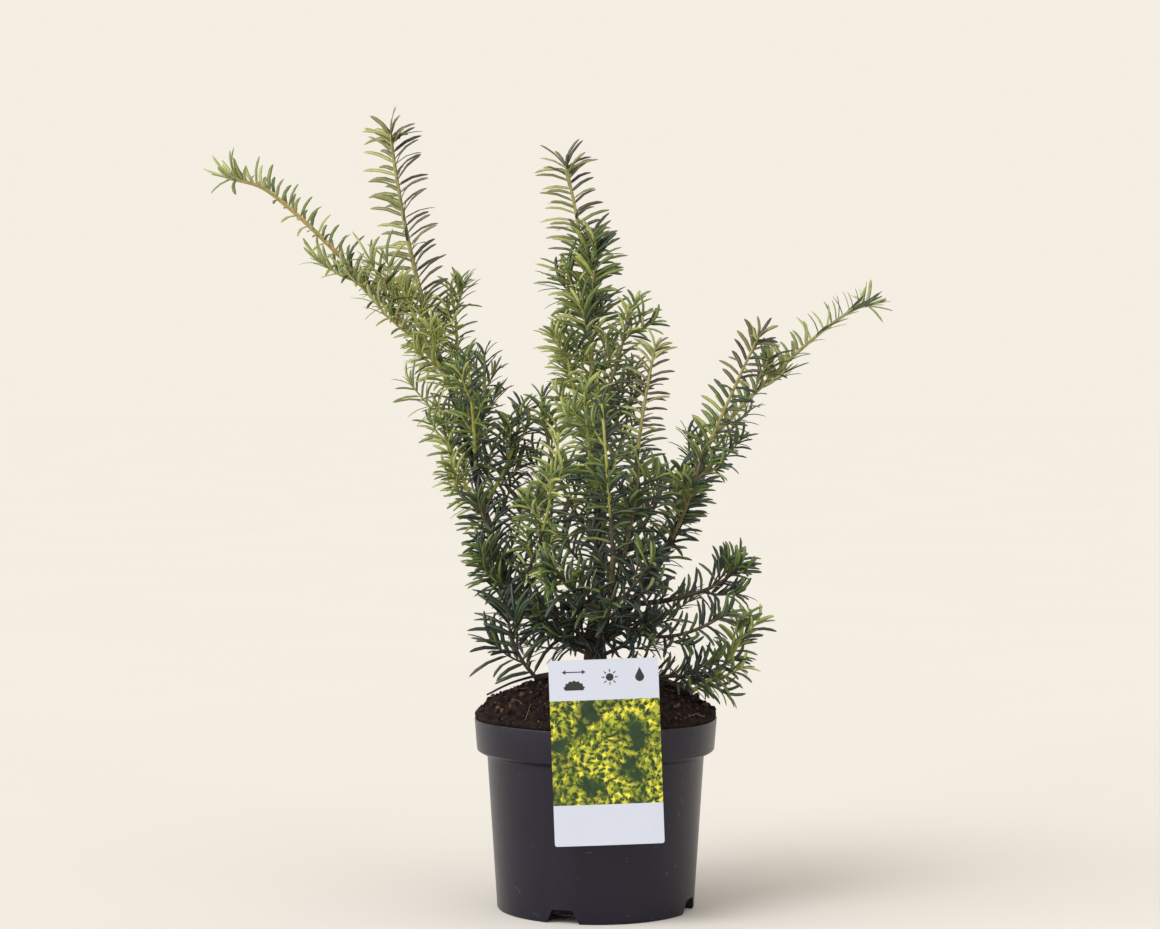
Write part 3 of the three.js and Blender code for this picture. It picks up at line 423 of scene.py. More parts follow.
def is_free(points, mass, shoots, limbs, clearance):
    """True if no point comes within `clearance` of a limb's bark or another mass's shoots."""
    for limb in limbs.values():
        bark = trunk_radius(0.5) if limb.name == "trunk" else (limb.radius + limb.tip_radius) / 2
        if nearest(points, *straight_pieces([limb.path])).min() < bark + clearance:
            return False
    others = [shoot.path for shoot in shoots if shoot.mass != mass]
    return nearest(points, *straight_pieces(others)).min() >= clearance


def twig_path(parent, share, turn, rule, length):
    """A side twig: it leaves at the rule's spread to its parent and turns along it and upwards."""
    along = direction_along(parent, share)
    spread = math.radians(rule["spread"])
    first = along * math.cos(spread) + across(along, turn) * math.sin(spread)
    last = unit(first + along * TWIG["follow"] + UP * rule["rise"])
    return grow_path(point_along(parent, share), first, last, length, 1, 2)


def plan_shoots(limbs):
    """Every mass's stem and side twigs, by the source's rule and with its draws."""
    shoots, plans = [], [MassPlan(*row) for row in MASSES]
    for number, plan in enumerate(plans, 1):
        stout = LOOKS[plan.name].stout
        shoots.append(Shoot(plan.name, 0, grow(limbs[plan.on], plan, TWIG["step"]), plan.length,
                            STEM["radius"] * stout, STEM["tip_radius"] * stout, number * 10))
    for stem, plan in zip(list(shoots), plans):
        number = stem.seed // 10
        for index in range(plan.twigs):
            share = TWIG["first"] + (TWIG["last"] - TWIG["first"]) * (index + 0.5) / plan.twigs
            turn = index * GOLDEN_ANGLE + 360 * chance(number, 1)
            length = plan.twig_length * (1 + swing(TWIG["variation"], number, 10 + index))
            length *= TWIG["longest"] - TWIG["shortening"] * share
            path = twig_path(stem.path, share, turn, TWIG, length)
            free = is_free(path[1:], stem.mass, shoots, limbs, TWIG["clearance"])
            if free and share <= LOOKS[stem.mass].last:
                shoots.append(Shoot(stem.mass, 1, path, length, TWIG["radius"], TWIG["tip_radius"],
                                    number * 10 + 1 + index))
    return shoots


def add_finer_twigs(shoots, limbs):
    """Twigs that the solids leave out: on each stem between its others, and one on each side
    twig, by the rule of the side twigs."""
    usual = {row[0]: row[-1] for row in MASSES}
    for shoot in list(shoots):
        look, on_stem = LOOKS[shoot.mass], shoot.order == 0
        count = look.finer if on_stem else min(look.finer, 1)
        for index in range(count):
            seed = shoot.seed * 7 + 300 + index
            share, scale = FINER["on_twig"], FINER["on_twig_scale"]
            if on_stem:
                share, scale = FINER["first"] + FINER["reach"] * (index + 0.5) / count, FINER["scale"]
            turn = index * GOLDEN_ANGLE + 360 * chance(seed, 2) + FINER["turn"]
            length = usual[shoot.mass] * scale * (FINER["length"] + FINER["length_range"] * chance(seed, 3))
            length *= TWIG["longest"] - TWIG["shortening"] * share
            path = twig_path(shoot.path, share, turn, FINER, length)
            free = is_free(path[1:], shoot.mass, shoots, limbs, FINER["clearance"])
            if free and not (on_stem and share > look.last):
                shoots.append(Shoot(shoot.mass, 2, path, length, TWIG["radius"] * FINER["slimness"],
                                    TWIG["tip_radius"] * FINER["slimness"], seed))


def add_limb_twigs(shoots, limbs):
    """Twigs on the leafy part of each limb, kept above the soil."""
    for number, (name, leafy) in enumerate(LEAFY_LIMBS.items()):
        path, leafy_share = limbs[name].path, 1 - LIMB_TWIG["first"]
        count = leafy.look.finer or int(path_length(path) * leafy_share / LIMB_TWIG["every"])
        others = {key: limb for key, limb in limbs.items() if key != name}
        for index in range(count):
            seed = 3000 + number * 40 + index
            share = LIMB_TWIG["first"] + leafy_share * (index + 0.5) / count
            turn = index * GOLDEN_ANGLE + 360 * chance(seed, 2)
            varied = LIMB_TWIG["shortest"] + LIMB_TWIG["length_range"] * chance(seed, 3)
            twig = twig_path(path, share, turn, LIMB_TWIG, LIMB_TWIG["length"] * varied)
            x, y, z = twig[1:].T
            above_soil = z > soil_height(np.hypot(x, y)) + LIMB_TWIG["above_soil"]
            if above_soil.all() and is_free(twig[1:], name, shoots, others, LIMB_TWIG["clearance"]):
                shoots.append(Shoot(name, 2, twig, LIMB_TWIG["length"] * varied, TWIG["radius"],
                                    TWIG["tip_radius"], seed))


def shortened(shoot):
    """A shoot cut off short of its mass's end, as much as its look says, if it is the stem."""
    short = LOOKS[shoot.mass].short
    if shoot.order > 0 or not short:
        return shoot
    left = 1 - short / shoot.length
    path = point_along(shoot.path, np.linspace(0, left, len(shoot.path)))
    return shoot._replace(path=path, length=shoot.length * left)


# ------------------------------------------------------------------ meshes

Surface = namedtuple("Surface", "points quads triangles")


def grid_quads(rows, columns, wrap):
    """The four corners of every cell of a grid of points, numbered row by row."""
    row, column = np.meshgrid(np.arange(rows - 1), np.arange(columns if wrap else columns - 1),
                              indexing="ij")
    after = (column + 1) % columns
    return np.stack([row * columns + column, row * columns + after,
                     (row + 1) * columns + after, (row + 1) * columns + column], -1).reshape(-1, 4)


def closed_rings(rings, sides):
    """The faces of rings of points and of two more points, the poles, that close their ends."""
    here, after = np.arange(sides), (np.arange(sides) + 1) % sides
    last, pole = (rings - 1) * sides, rings * sides
    foot = np.column_stack([np.full(sides, pole), after, here])
    top = np.column_stack([np.full(sides, pole + 1), last + here, last + after])
    return grid_quads(rings, sides, True), np.vstack([foot, top])


def join(surfaces):
    """Several surfaces as one, their points numbered on from each other."""
    starts = np.cumsum([0] + [len(surface.points) for surface in surfaces])
    return Surface(np.vstack([surface.points for surface in surfaces]),
                   np.vstack([surface.quads + start for surface, start in zip(surfaces, starts)]),
                   np.vstack([surface.triangles + start for surface, start in zip(surfaces, starts)]))


def outward(points, quads, triangles):
    """A surface with its faces turned out: the volume under its faces is made positive."""
    faces = np.vstack([triangles, quads[:, [0, 1, 2]], quads[:, [0, 2, 3]]])
    a, b, c = points[faces[:, 0]], points[faces[:, 1]], points[faces[:, 2]]
    if (a * np.cross(b, c)).sum() < 0:
        quads, triangles = quads[:, ::-1], triangles[:, ::-1]
    return Surface(points, quads, triangles)


def lathe(profile, sides):
    """A profile of (radius, height) from axis to axis, carried round the Z axis."""
    profile = np.asarray(profile, float)
    ring, angle = profile[1:-1], full_turn(sides)
    points = np.stack([ring[:, :1] * np.cos(angle), ring[:, :1] * np.sin(angle),
                       np.repeat(ring[:, 1:], sides, axis=1)], -1).reshape(-1, 3)
    poles = np.array([[0, 0, profile[0, 1]], [0, 0, profile[-1, 1]]])
    return outward(np.vstack([points, poles]), *closed_rings(len(ring), sides))


def tube(path, radius, sides, relief=None):
    """Rings of `sides` points square to a path, turned as little as the path allows, with a
    flat foot and a domed tip. `relief` is added to the radius, ring by ring."""
    path, radius = np.asarray(path, float), np.asarray(radius, float)
    tangent = unit(np.gradient(path, axis=0))
    dome, end = np.radians([30.0, 60.0]), radius[-1]
    path = np.vstack([path, path[-1] + tangent[-1] * end * np.sin(dome)[:, None]])
    tangent = np.vstack([tangent, tangent[-1:], tangent[-1:]])
    reach = np.concatenate([radius, end * np.cos(dome)])[:, None]
    if relief is not None:
        reach = reach + np.vstack([relief, relief[-1:] * 0.7, relief[-1:] * 0.3])
    side = np.empty_like(path)
    side[0] = across(tangent[0], 0)
    for ring in range(1, len(path)):
        turned = side[ring - 1] - tangent[ring] * side[ring - 1].dot(tangent[ring])
        side[ring] = turned / np.linalg.norm(turned)
    over, angle = np.cross(tangent, side), full_turn(sides)
    points = (path[:, None] + side[:, None] * (reach * np.cos(angle))[..., None]
              + over[:, None] * (reach * np.sin(angle))[..., None]).reshape(-1, 3)
    poles = np.array([path[0], path[-1] + tangent[-1] * end * (1 - math.sin(dome[-1]))])
    return outward(np.vstack([points, poles]), *closed_rings(len(path), sides))


def shell(front, back, rows, columns):
    """A closed plate from two grids of points, back to back, with a strip round their edges."""
    count = rows * columns
    face = grid_quads(rows, columns, False)
    index = np.arange(count).reshape(rows, columns)
    border = np.concatenate([index[0, :-1], index[:-1, -1], index[-1, :0:-1], index[:0:-1, 0]])
    after = np.roll(border, -1)
    strip = np.column_stack([after, border, border + count, after + count])
    quads = np.vstack([face, face[:, ::-1] + count, strip])
    return outward(np.vstack([front, back]), quads, np.zeros((0, 3), int))


def in_scene(name, data):
    """An object made from its data and linked to the scene."""
    made = bpy.data.objects.new(name, data)
    bpy.context.scene.collection.objects.link(made)
    return made


def polygons(name, points, faces):
    """A mesh in metres from points and faces of any number of corners."""
    mesh = bpy.data.meshes.new(name)
    mesh.from_pydata((points * MM).tolist(), [], faces)
    mesh.update()
    return mesh


def piece(name, surface, materials, replaces=(), face_materials=None, smooth_angle=None):
    """A finished mesh object in metres, riding on the one body."""
    quads, triangles = surface.quads, surface.triangles
    mesh = bpy.data.meshes.new(name)
    corners = np.concatenate([quads.ravel(), triangles.ravel()]).astype(np.int32)
    starts = np.concatenate([np.arange(len(quads)) * 4, quads.size + np.arange(len(triangles)) * 3])
    mesh.vertices.add(len(surface.points))
    mesh.vertices.foreach_set("co", (surface.points * MM).astype(np.float32).ravel())
    mesh.loops.add(len(corners))
    mesh.loops.foreach_set("vertex_index", corners)
    mesh.polygons.add(len(starts))
    mesh.polygons.foreach_set("loop_start", starts.astype(np.int32))
    if face_materials is not None:
        mesh.polygons.foreach_set("material_index", np.asarray(face_materials, np.int32))
    mesh.update(calc_edges=True)
    mesh.validate()
    mesh.shade_smooth()
    if smooth_angle:
        mesh.set_sharp_from_angle(angle=math.radians(smooth_angle))
    for material in materials:
        mesh.materials.append(material)
    made = in_scene(name, mesh)
    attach(made, "root")
    if replaces:
        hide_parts(*replaces)
    return made


# ------------------------------------------------------------------ shader nodes


def add(tree, kind, inputs=None, **settings):
    """A shader node with its settings, and its inputs set to values or linked to sockets."""
    node = tree.nodes.new("ShaderNode" + kind)
    for key, value in settings.items():
        setattr(node, key, value)
    for key, value in (inputs or {}).items():
        if isinstance(value, bpy.types.NodeSocket):
            tree.links.new(value, node.inputs[key])
        else:
            node.inputs[key].default_value = value
    return node


def object_place(tree):
    """Where a point lies in its object's own coordinates."""
    return add(tree, "TexCoord").outputs["Object"]


def noise(tree, place, scale, detail):
    """Soft noise round 0.5, with as many finer layers as its detail says."""
    return add(tree, "TexNoise", {"Vector": place, "Scale": scale, "Detail": detail}).outputs[0]


def mapped(tree, value, low, high, to_low=0.0, to_high=1.0):
    """A value carried from one range to another and held at its ends."""
    return add(tree, "MapRange", {"Value": value, "From Min": low, "From Max": high,
                                  "To Min": to_low, "To Max": to_high}).outputs[0]


def maths(tree, operation, first, second):
    """Two values joined by one operation."""
    return add(tree, "Math", {0: first, 1: second}, operation=operation).outputs[0]


def mix(tree, share, first, second, blend="MIX"):
    """The first colour, blended with the second by its share."""
    return add(tree, "Mix", {0: share, 6: first, 7: second}, data_type="RGBA",
               blend_type=blend).outputs[2]


def colour(red, green, blue):
    """A colour given as 0 to 255 on a screen, in the linear values that shaders use."""
    linear = [((c / 255 + 0.055) / 1.055) ** 2.4 if c > 10 else c / 255 / 12.92
              for c in (red, green, blue)]
    return (*linear, 1.0)


def new_group(name, inputs, outputs):
    """A node group with named sockets: inputs as (name, kind, value), outputs as (name, kind)."""
    group = bpy.data.node_groups.new(name, "ShaderNodeTree")
    for socket_name, kind, value in inputs:
        socket = group.interface.new_socket(name=socket_name, in_out="INPUT",
                                            socket_type="NodeSocket" + kind)
        socket.default_value = value
    for socket_name, kind in outputs:
        group.interface.new_socket(name=socket_name, in_out="OUTPUT", socket_type="NodeSocket" + kind)
    return (group, group.nodes.new("NodeGroupInput").outputs,
            group.nodes.new("NodeGroupOutput").inputs)


def make_mottling():
    """Two colours mixed by soft patches; the patches themselves come out too."""
    group, given, result = new_group(
        "mottling", [("Dark", "Color", (0, 0, 0, 1)), ("Light", "Color", (1, 1, 1, 1)),
                     ("Scale", "Float", 100.0), ("Softness", "Float", 0.3)],
        [("Colour", "Color"), ("Patches", "Float")])
    clouds = add(group, "TexNoise", {"Vector": object_place(group), "Scale": given["Scale"],
                                     "Detail": 3.0, "Roughness": 0.6}).outputs[0]
    patches = mapped(group, clouds, maths(group, "SUBTRACT", 0.5, given["Softness"]),
                     maths(group, "ADD", 0.5, given["Softness"]))
    group.links.new(mix(group, patches, given["Dark"], given["Light"]), result["Colour"])
    group.links.new(patches, result["Patches"])
    return group


def make_scuffs():
    """A mask of fine scratches: noise drawn out long in one direction and cut off high."""
    group, given, result = new_group(
        "scuffs", [("Scale", "Float", 60.0), ("Length", "Float", 0.05), ("Threshold", "Float", 0.66)],
        [("Mask", "Float")])
    turned = add(group, "VectorRotate", {"Vector": object_place(group), "Axis": (0.3, 0.9, 0.2),
                                         "Angle": 1.2}, rotation_type="AXIS_ANGLE")
    drawn = add(group, "CombineXYZ", {"X": 1.0, "Y": 1.0, "Z": given["Length"]})
    stretched = add(group, "VectorMath", {0: turned.outputs[0], 1: drawn.outputs[0]},
                    operation="MULTIPLY")
    streaks = noise(group, stretched.outputs[0], given["Scale"], 2.0)
    top = maths(group, "ADD", given["Threshold"], 0.04)
    group.links.new(mapped(group, streaks, given["Threshold"], top), result["Mask"])
    return group


MOTTLING = make_mottling()
SCUFFS = make_scuffs()


def use(tree, group, **inputs):
    """The outputs of a node group placed in a tree with its own values."""
    node = tree.nodes.new("ShaderNodeGroup")
    node.node_tree = group
    for key, value in inputs.items():
        node.inputs[key].default_value = value
    return node.outputs


def new_material(name, roughness, **constants):
    """A material with an empty Principled shader, whose constants are set on its sockets."""
    material = bpy.data.materials.new(name)
    material.use_nodes = True
    tree = material.node_tree
    shader = tree.nodes["Principled BSDF"]
    shader.inputs["Roughness"].default_value = roughness
    for key, value in constants.items():
        shader.inputs[key.replace("_", " ")].default_value = value
    return material, tree, shader


def feed(tree, shader, colour_from, roughness_from=None, height=None, strength=0.0, distance=0.0,
         sunk=False):
    """Links what varies over the surface to the shader: its colour, its roughness, and a height
    that a Bump node turns into relief, or into hollows where it is `sunk`."""
    tree.links.new(colour_from, shader.inputs["Base Color"])
    if roughness_from:
        tree.links.new(roughness_from, shader.inputs["Roughness"])
    if height:
        bump = add(tree, "Bump", {"Height": height, "Strength": strength, "Distance": distance},
                   invert=sunk)
        tree.links.new(bump.outputs[0], shader.inputs["Normal"])


# ------------------------------------------------------------------ materials


def mottled(name, dark, light, scale, softness, roughness, **constants):
    """A finish of two mingled colours."""
    material, tree, shader = new_material(name, roughness, **constants)
    patches = use(tree, MOTTLING, Dark=colour(*dark), Light=colour(*light), Scale=scale,
                  Softness=softness)
    feed(tree, shader, patches["Colour"])
    return material


def make_pot_plastic():
    """Satin black plastic: faint cloudy patches, fine scratches, and a rim rubbed paler."""
    material, tree, shader = new_material("pot_plastic", 0.34, IOR=1.49, Specular_IOR_Level=0.4,
                                          Specular_Tint=(0.96, 0.93, 1.0, 1.0))
    patches = use(tree, MOTTLING, Dark=colour(8, 6, 20), Light=colour(13, 10, 30), Scale=18.0,
                  Softness=0.35)
    scratches = use(tree, SCUFFS, Scale=220.0, Length=0.06, Threshold=0.69)["Mask"]
    place = object_place(tree)
    height = add(tree, "SeparateXYZ", {0: place}).outputs["Z"]
    rim = mapped(tree, height, 0.1295, 0.1335)
    worn = mapped(tree, noise(tree, place, 260.0, 5.0), 0.5, 0.68)
    wear = maths(tree, "MAXIMUM", maths(tree, "MULTIPLY", rim, worn), scratches)
    base = mix(tree, maths(tree, "MULTIPLY", wear, 0.18), patches["Colour"], colour(104, 102, 116))
    feed(tree, shader, base, mapped(tree, patches["Patches"], 0.0, 1.0, 0.3, 0.38),
         noise(tree, place, 1400.0, 2.0), 0.12, 0.0003)
    return material


def make_bark(name, dark, light, roughness, scale):
    """Bark in two tones, mingled in patches and again in fine flakes, with a flaky relief; its sunk
    cracks between the flakes are darkened as painted shade.
    """
    material, tree, shader = new_material(name, roughness)
    patches = use(tree, MOTTLING, Dark=colour(*dark), Light=colour(*light), Scale=scale, Softness=0.16)
    flakes = add(tree, "TexVoronoi", {"Vector": object_place(tree), "Scale": scale * 5})
    depth = flakes.outputs["Distance"]
    # painted shade: each flake darkens towards its sunk edges, the cracks of the relief
    base = mix(tree, 1.0, patches["Colour"], mapped(tree, depth, 0.0, 0.6, 1.0, 0.55), "MULTIPLY")
    feed(tree, shader, base, None, depth, 0.35, 0.0004, sunk=True)
    return material


def make_peat():
    """Damp peat: near-black and brown patches at random, and a few dull ochre flecks."""
    material, tree, shader = new_material("peat", 0.95, Specular_IOR_Level=0.1)
    patches = use(tree, MOTTLING, Dark=colour(10, 7, 7), Light=colour(36, 26, 23), Scale=240.0,
                  Softness=0.14)
    flecks = noise(tree, object_place(tree), 700.0, 3.0)
    base = mix(tree, mapped(tree, flecks, 0.64, 0.72), patches["Colour"], colour(88, 68, 50))
    feed(tree, shader, base, None, flecks, 0.6, 0.0008)
    return material


def make_card():
    """Coated card: near white, with a barely cloudy coat."""
    material, tree, shader = new_material("card", 0.36)
    light = colour(190, 196, 211)
    dark = tuple(c * 0.96 for c in light[:3]) + (1.0,)
    patches = use(tree, MOTTLING, Dark=dark, Light=light, Scale=30.0, Softness=0.3)
    feed(tree, shader, patches["Colour"], mapped(tree, patches["Patches"], 0.0, 1.0, 0.3, 0.42))
    return material


def star_leaves(tree, place, scale, turn):
    """Four-pointed leaves, one in each cell of a plane pattern: cells measured so that nearness
    falls off slowly along two axes. Puts out their mask and a tone for each leaf."""
    turned = add(tree, "VectorRotate", {"Vector": place, "Axis": (0, 0, 1), "Angle": turn},
                 rotation_type="AXIS_ANGLE")
    cells = add(tree, "TexVoronoi", {"Vector": turned.outputs[0], "Scale": scale, "Exponent": 0.55},
                voronoi_dimensions="2D", distance="MINKOWSKI").outputs
    return (mapped(tree, cells["Distance"], 1.0, 0.4),
            add(tree, "SeparateColor", {0: cells["Color"]}).outputs[0])


def make_leaf_print():
    """A printed leafy ground: two layers of pointed yellow-green leaves in tufts over a dim
    green field."""
    material, tree, shader = new_material("leaf_print", 0.34, Specular_IOR_Level=0.3)
    parts = add(tree, "SeparateXYZ", {0: object_place(tree)}).outputs
    flat = add(tree, "CombineXYZ", {"X": parts["X"], "Y": parts["Z"]}).outputs[0]
    swirl = add(tree, "TexNoise", {"Vector": flat, "Scale": 60.0, "Detail": 2.0})
    pushed = add(tree, "VectorMath", {0: swirl.outputs["Color"], 1: (0.012, 0.012, 0), 2: flat},
                 operation="MULTIPLY_ADD").outputs[0]
    tufts = mapped(tree, noise(tree, flat, 58.0, 3.0), 0.38, 0.54)
    picture = mix(tree, noise(tree, flat, 160.0, 4.0), colour(4, 16, 12), colour(50, 76, 42))
    for scale, turn, dim, bright in ((330.0, 0.9, (46, 74, 24), (168, 176, 48)),
                                     (230.0, 0.2, (112, 130, 30), (232, 222, 74))):
        leaf, tone = star_leaves(tree, pushed, scale, turn)
        shown = maths(tree, "MULTIPLY", leaf, tufts)
        picture = mix(tree, shown, picture, mix(tree, tone, colour(*dim), colour(*bright)))
    feed(tree, shader, picture)
    return material


# name, darker colour, lighter colour, roughness: from shade to fresh, green and then bronzed
NEEDLE_TINTS = [
    ("needle_shade", (18, 27, 26), (38, 53, 48), 0.28),
    ("needle_deep", (32, 46, 35), (57, 73, 51), 0.3),
    ("needle_green", (56, 73, 34), (86, 105, 48), 0.36),
    ("needle_olive", (84, 99, 46), (119, 134, 68), 0.38),
    ("needle_fresh", (128, 138, 68), (174, 182, 108), 0.4),
    ("bronze_shade", (26, 27, 22), (48, 48, 38), 0.36),
    ("bronze_deep", (50, 47, 30), (76, 71, 48), 0.36),
    ("bronze_olive", (74, 73, 46), (104, 100, 68), 0.38),
    ("bronze_light", (104, 108, 60), (136, 136, 88), 0.4),
    ("bronze_fresh", (138, 146, 78), (172, 176, 110), 0.4),
]
TONES = len(NEEDLE_TINTS) // 2
PALE_FROM = 3
UNDERSIDES = [
    ("underside_dull", (58, 70, 44), (82, 94, 58), 0.55),
    ("underside_pale", (146, 154, 102), (178, 184, 130), 0.55),
]
# the same, then the scale and softness of the patches
YOUNG_WOOD = {
    "green": ((126, 132, 54), (160, 162, 82), 0.5, 140.0, 0.2),
    "olive": ((84, 78, 46), (116, 106, 64), 0.55, 140.0, 0.2),
    "brown": ((40, 32, 24), (74, 60, 42), 0.65, 140.0, 0.2),
    "straw": ((118, 116, 62), (156, 148, 92), 0.5, 140.0, 0.2),
    "honey": ((142, 144, 80), (186, 156, 96), 0.5, 50.0, 0.1),
}
CRUMB_TONES = [("crumb_brown", (58, 42, 36), (92, 70, 56)), ("crumb_dark", (24, 19, 18), (44, 35, 32))]


def make_needle_finishes():
    """The needles' finishes: each tint's upper side, then the undersides."""
    return [mottled(name, dark, light, 120.0, 0.25, roughness)
            for name, dark, light, roughness in NEEDLE_TINTS + UNDERSIDES]


def make_young_wood():
    """The finishes of the young wood, in the order of its table."""
    return [mottled("shoot_" + name, dark, light, scale, softness, roughness)
            for name, (dark, light, roughness, scale, softness) in YOUNG_WOOD.items()]


# ------------------------------------------------------------------ pot


def pot_outer(height):
    """The wall's outer radius at a height: a straight taper from its base to its shoulder."""
    return POT["base"] + (POT["body"] - POT["base"]) * height / SHOULDER


def rounded(corners, steps=5):
    """A profile's corners, each rounded over its own reach by a curve that its two sides touch."""
    points = [corners[0][:2]]
    for before, (r, z, reach), after in zip(corners, corners[1:], corners[2:]):
        corner = np.array([r, z], float)
        if reach == 0:
            points.append(corner)
            continue
        start = corner + unit(np.array(before[:2]) - corner) * reach
        end = corner + unit(np.array(after[:2]) - corner) * reach
        for t in np.linspace(0, 1, steps):
            points.append(start * (1 - t) ** 2 + corner * 2 * t * (1 - t) + end * t ** 2)
    points.append(corners[-1][:2])
    return np.array(points, float)


def make_pot(plastic):
    """The pot's wall, collar and foot as one lathed profile, slightly out of round at the rim,
    with the drainage notches cut out."""
    height, wall, recess, floor = POT["height"], POT["wall"], POT["recess"], POT["floor"]
    ring, bevel, edge = POT["base"] - POT["ring"], POT["pad_bevel"], POT_EDGE
    surface = lathe(rounded([
        (0, POT["pad_clear"], 0), (POT["pad"], POT["pad_clear"], edge["pad"]),
        (POT["pad"] + bevel, recess, edge["pad"]), (ring - bevel, recess, edge["pad"]),
        (ring, 0, edge["ring"]), (POT["base"], 0, edge["foot"]),
        (pot_outer(SHOULDER), SHOULDER, edge["bend"]), (POT["collar_foot"], COLLAR, edge["bend"]),
        (POT["rim"], height, edge["rim"]), (POT["rim"] - wall, height, edge["lip"]),
        (POT["collar_foot"] - wall, COLLAR + wall / 2, edge["bend"]),
        (pot_outer(SHOULDER) - wall, SHOULDER + wall / 2, edge["bend"]),
        (pot_outer(floor) - wall, floor, edge["floor"]), (0, floor, 0),
    ]), POT["sides"])
    x, y, z = surface.points.T
    bearing = np.arctan2(y, x)
    share = np.clip(z / height, 0, 1) ** 3
    waver = (1 + POT_WAVER["three"] * share * np.sin(3 * bearing + 0.7)
             + POT_WAVER["seven"] * share * np.sin(7 * bearing))
    z = z + POT_WAVER["lift"] * share * np.sin(5 * bearing + 1)
    surface = surface._replace(points=np.stack([x * waver, y * waver, z], -1))
    pot = piece("nursery_pot", surface, [plastic], ["pot"])
    for index in range(NOTCH["count"]):
        cut(pot, notch_cutter(NOTCH["bearing"] + index * 360 / NOTCH["count"]))
    pot.data.shade_smooth()
    pot.data.set_sharp_from_angle(angle=math.radians(50))


def notch_cutter(bearing):
    """A trapezium standing on the ground line with rounded top corners, run out through the wall."""
    height, below = NOTCH["height"], NOTCH["below"]
    slope = (NOTCH["foot"] - NOTCH["top"]) / 2 / height
    foot, top = NOTCH["foot"] / 2 + slope * below, NOTCH["top"] / 2
    width, rise = NOTCH["corner_width"], NOTCH["corner_height"]
    outline = [(-foot, -below), (foot, -below)]
    outline += [(top + width - width * math.sin(a), height - rise + rise * math.sin(a))
                for a in np.radians([20, 45, 70, 90])]
    outline += [(-x, z) for x, z in outline[:1:-1]]
    count, flat = len(outline), np.array(outline)
    near = np.column_stack([flat[:, 0], np.full(count, -NOTCH["inner"]), flat[:, 1]])
    far = near - [0, POT["rim"] - NOTCH["inner"], 0]
    turn = math.radians(bearing - 270)
    turned = np.array([[math.cos(turn), math.sin(turn), 0], [-math.sin(turn), math.cos(turn), 0],
                       [0, 0, 1]])
    ends = [list(range(count))[::-1], list(range(count, 2 * count))]
    sides = [(i, (i + 1) % count, (i + 1) % count + count, i + count) for i in range(count)]
    return in_scene("notch_cutter", polygons("notch_cutter", np.vstack([near, far]) @ turned, ends + sides))


def cut(target, cutter):
    """Takes the cutter's solid out of the target's mesh and removes the cutter."""
    modifier = target.modifiers.new("cut", "BOOLEAN")
    modifier.operation = "DIFFERENCE"
    modifier.solver = "EXACT"
    modifier.object = cutter
    bpy.context.view_layer.update()
    seen = target.evaluated_get(bpy.context.evaluated_depsgraph_get())
    mesh = bpy.data.meshes.new_from_object(seen)
    target.modifiers.remove(modifier)
    old, target.data = target.data, mesh
    mesh.name = target.name
    bpy.data.meshes.remove(old)
    shape = cutter.data
    bpy.data.objects.remove(cutter)
    bpy.data.meshes.remove(shape)


# ------------------------------------------------------------------ soil


def soil_height(radius):
    """A flat crown, then a rounded fall to where the heap spills over the rim."""
    share = np.maximum((radius - SOIL["flat"]) / (SOIL["spill"] - SOIL["flat"]), 0)
    return SOIL["crown"] - (SOIL["crown"] - SOIL["spill_height"]) * share ** SOIL["fall"]


def soil_relief(x, y):
    """Soft lumps with three finer layers of crumbly noise, calm where the trunk stands."""
    lumps = np.sin(x / 3.2 + 1) * np.sin(y / 3.7) + 0.6 * np.sin(x / 7.7 - y / 5.9)
    rough = (1.1 * soft_noise(x / 5.5, y / 5.5, 3) + 0.9 * np.abs(soft_noise(x / 2.6, y / 2.6, 5))
             + 0.55 * soft_noise(x / 1.2, y / 1.2, 8))
    calm = np.clip((np.hypot(x, y) - SOIL["calm"]) / SOIL["calm_over"], 0.25, 1)
    return (0.8 * SOIL["lump"] * lumps + rough) * calm


def make_soil(peat):
    """The filled pot's soil: a closed body whose heaped top is a polar grid with relief, and
    whose edge wanders a little over the rim."""
    inset, spill = POT["wall"] + SEAT_GAP, SOIL["spill"]
    inside = [(0, POT["floor"] + SEAT_GAP), (pot_outer(POT["floor"]) - inset, POT["floor"] + SEAT_GAP),
              (pot_outer(SHOULDER) - inset, SHOULDER + POT["wall"]),
              (POT["collar_foot"] - inset, COLLAR + POT["wall"]),
              (POT["rim"] - inset, POT["height"] + 0.1), (spill - 0.2, POT["height"] + 0.2)]
    radii = spill * (1 - np.linspace(0, 1, SOIL["rings"]) ** 1.15)[:-1]
    heap = [(radius, soil_height(radius)) for radius in radii] + [(0, SOIL["crown"])]
    surface = lathe(inside + heap, SOIL["sides"])
    x, y, z = surface.points.T
    radius, turn = np.hypot(x, y), np.arctan2(y, x) / (2 * math.pi) + 0.5
    on_top = z > SOIL["spill_height"] - 0.01
    edge = np.clip((radius - SOIL["ragged"]) / SOIL["ragged_over"], 0, 1) * on_top
    waves = SOIL["ragged_waves"]
    wider = 1 + edge * SOIL["ragged_share"] * soft_noise(turn * waves, radius * 0, 21, waves)
    relief = np.where(on_top, soil_relief(x, y), 0)
    z = z + relief * np.where(radius > spill - 1, 0.5, 1)
    surface = surface._replace(points=np.stack([x * wider, y * wider, z], -1))
    piece("peat_heap", surface, [peat], ["potting_soil"])


def on_soil(count, seed, reach):
    """Places spread evenly over the heap, clear of the trunk, with their heights."""
    index = np.arange(count)
    radius = reach * np.sqrt((index + 0.5) / count) * (0.96 + 0.08 * chance(seed, index))
    bearing = np.radians(index * GOLDEN_ANGLE + 30 * chance(seed, 500 + index))
    radius = np.clip(radius, 11, reach)
    x, y = radius * np.cos(bearing), radius * np.sin(bearing)
    return x, y, soil_height(radius) + soil_relief(x, y)


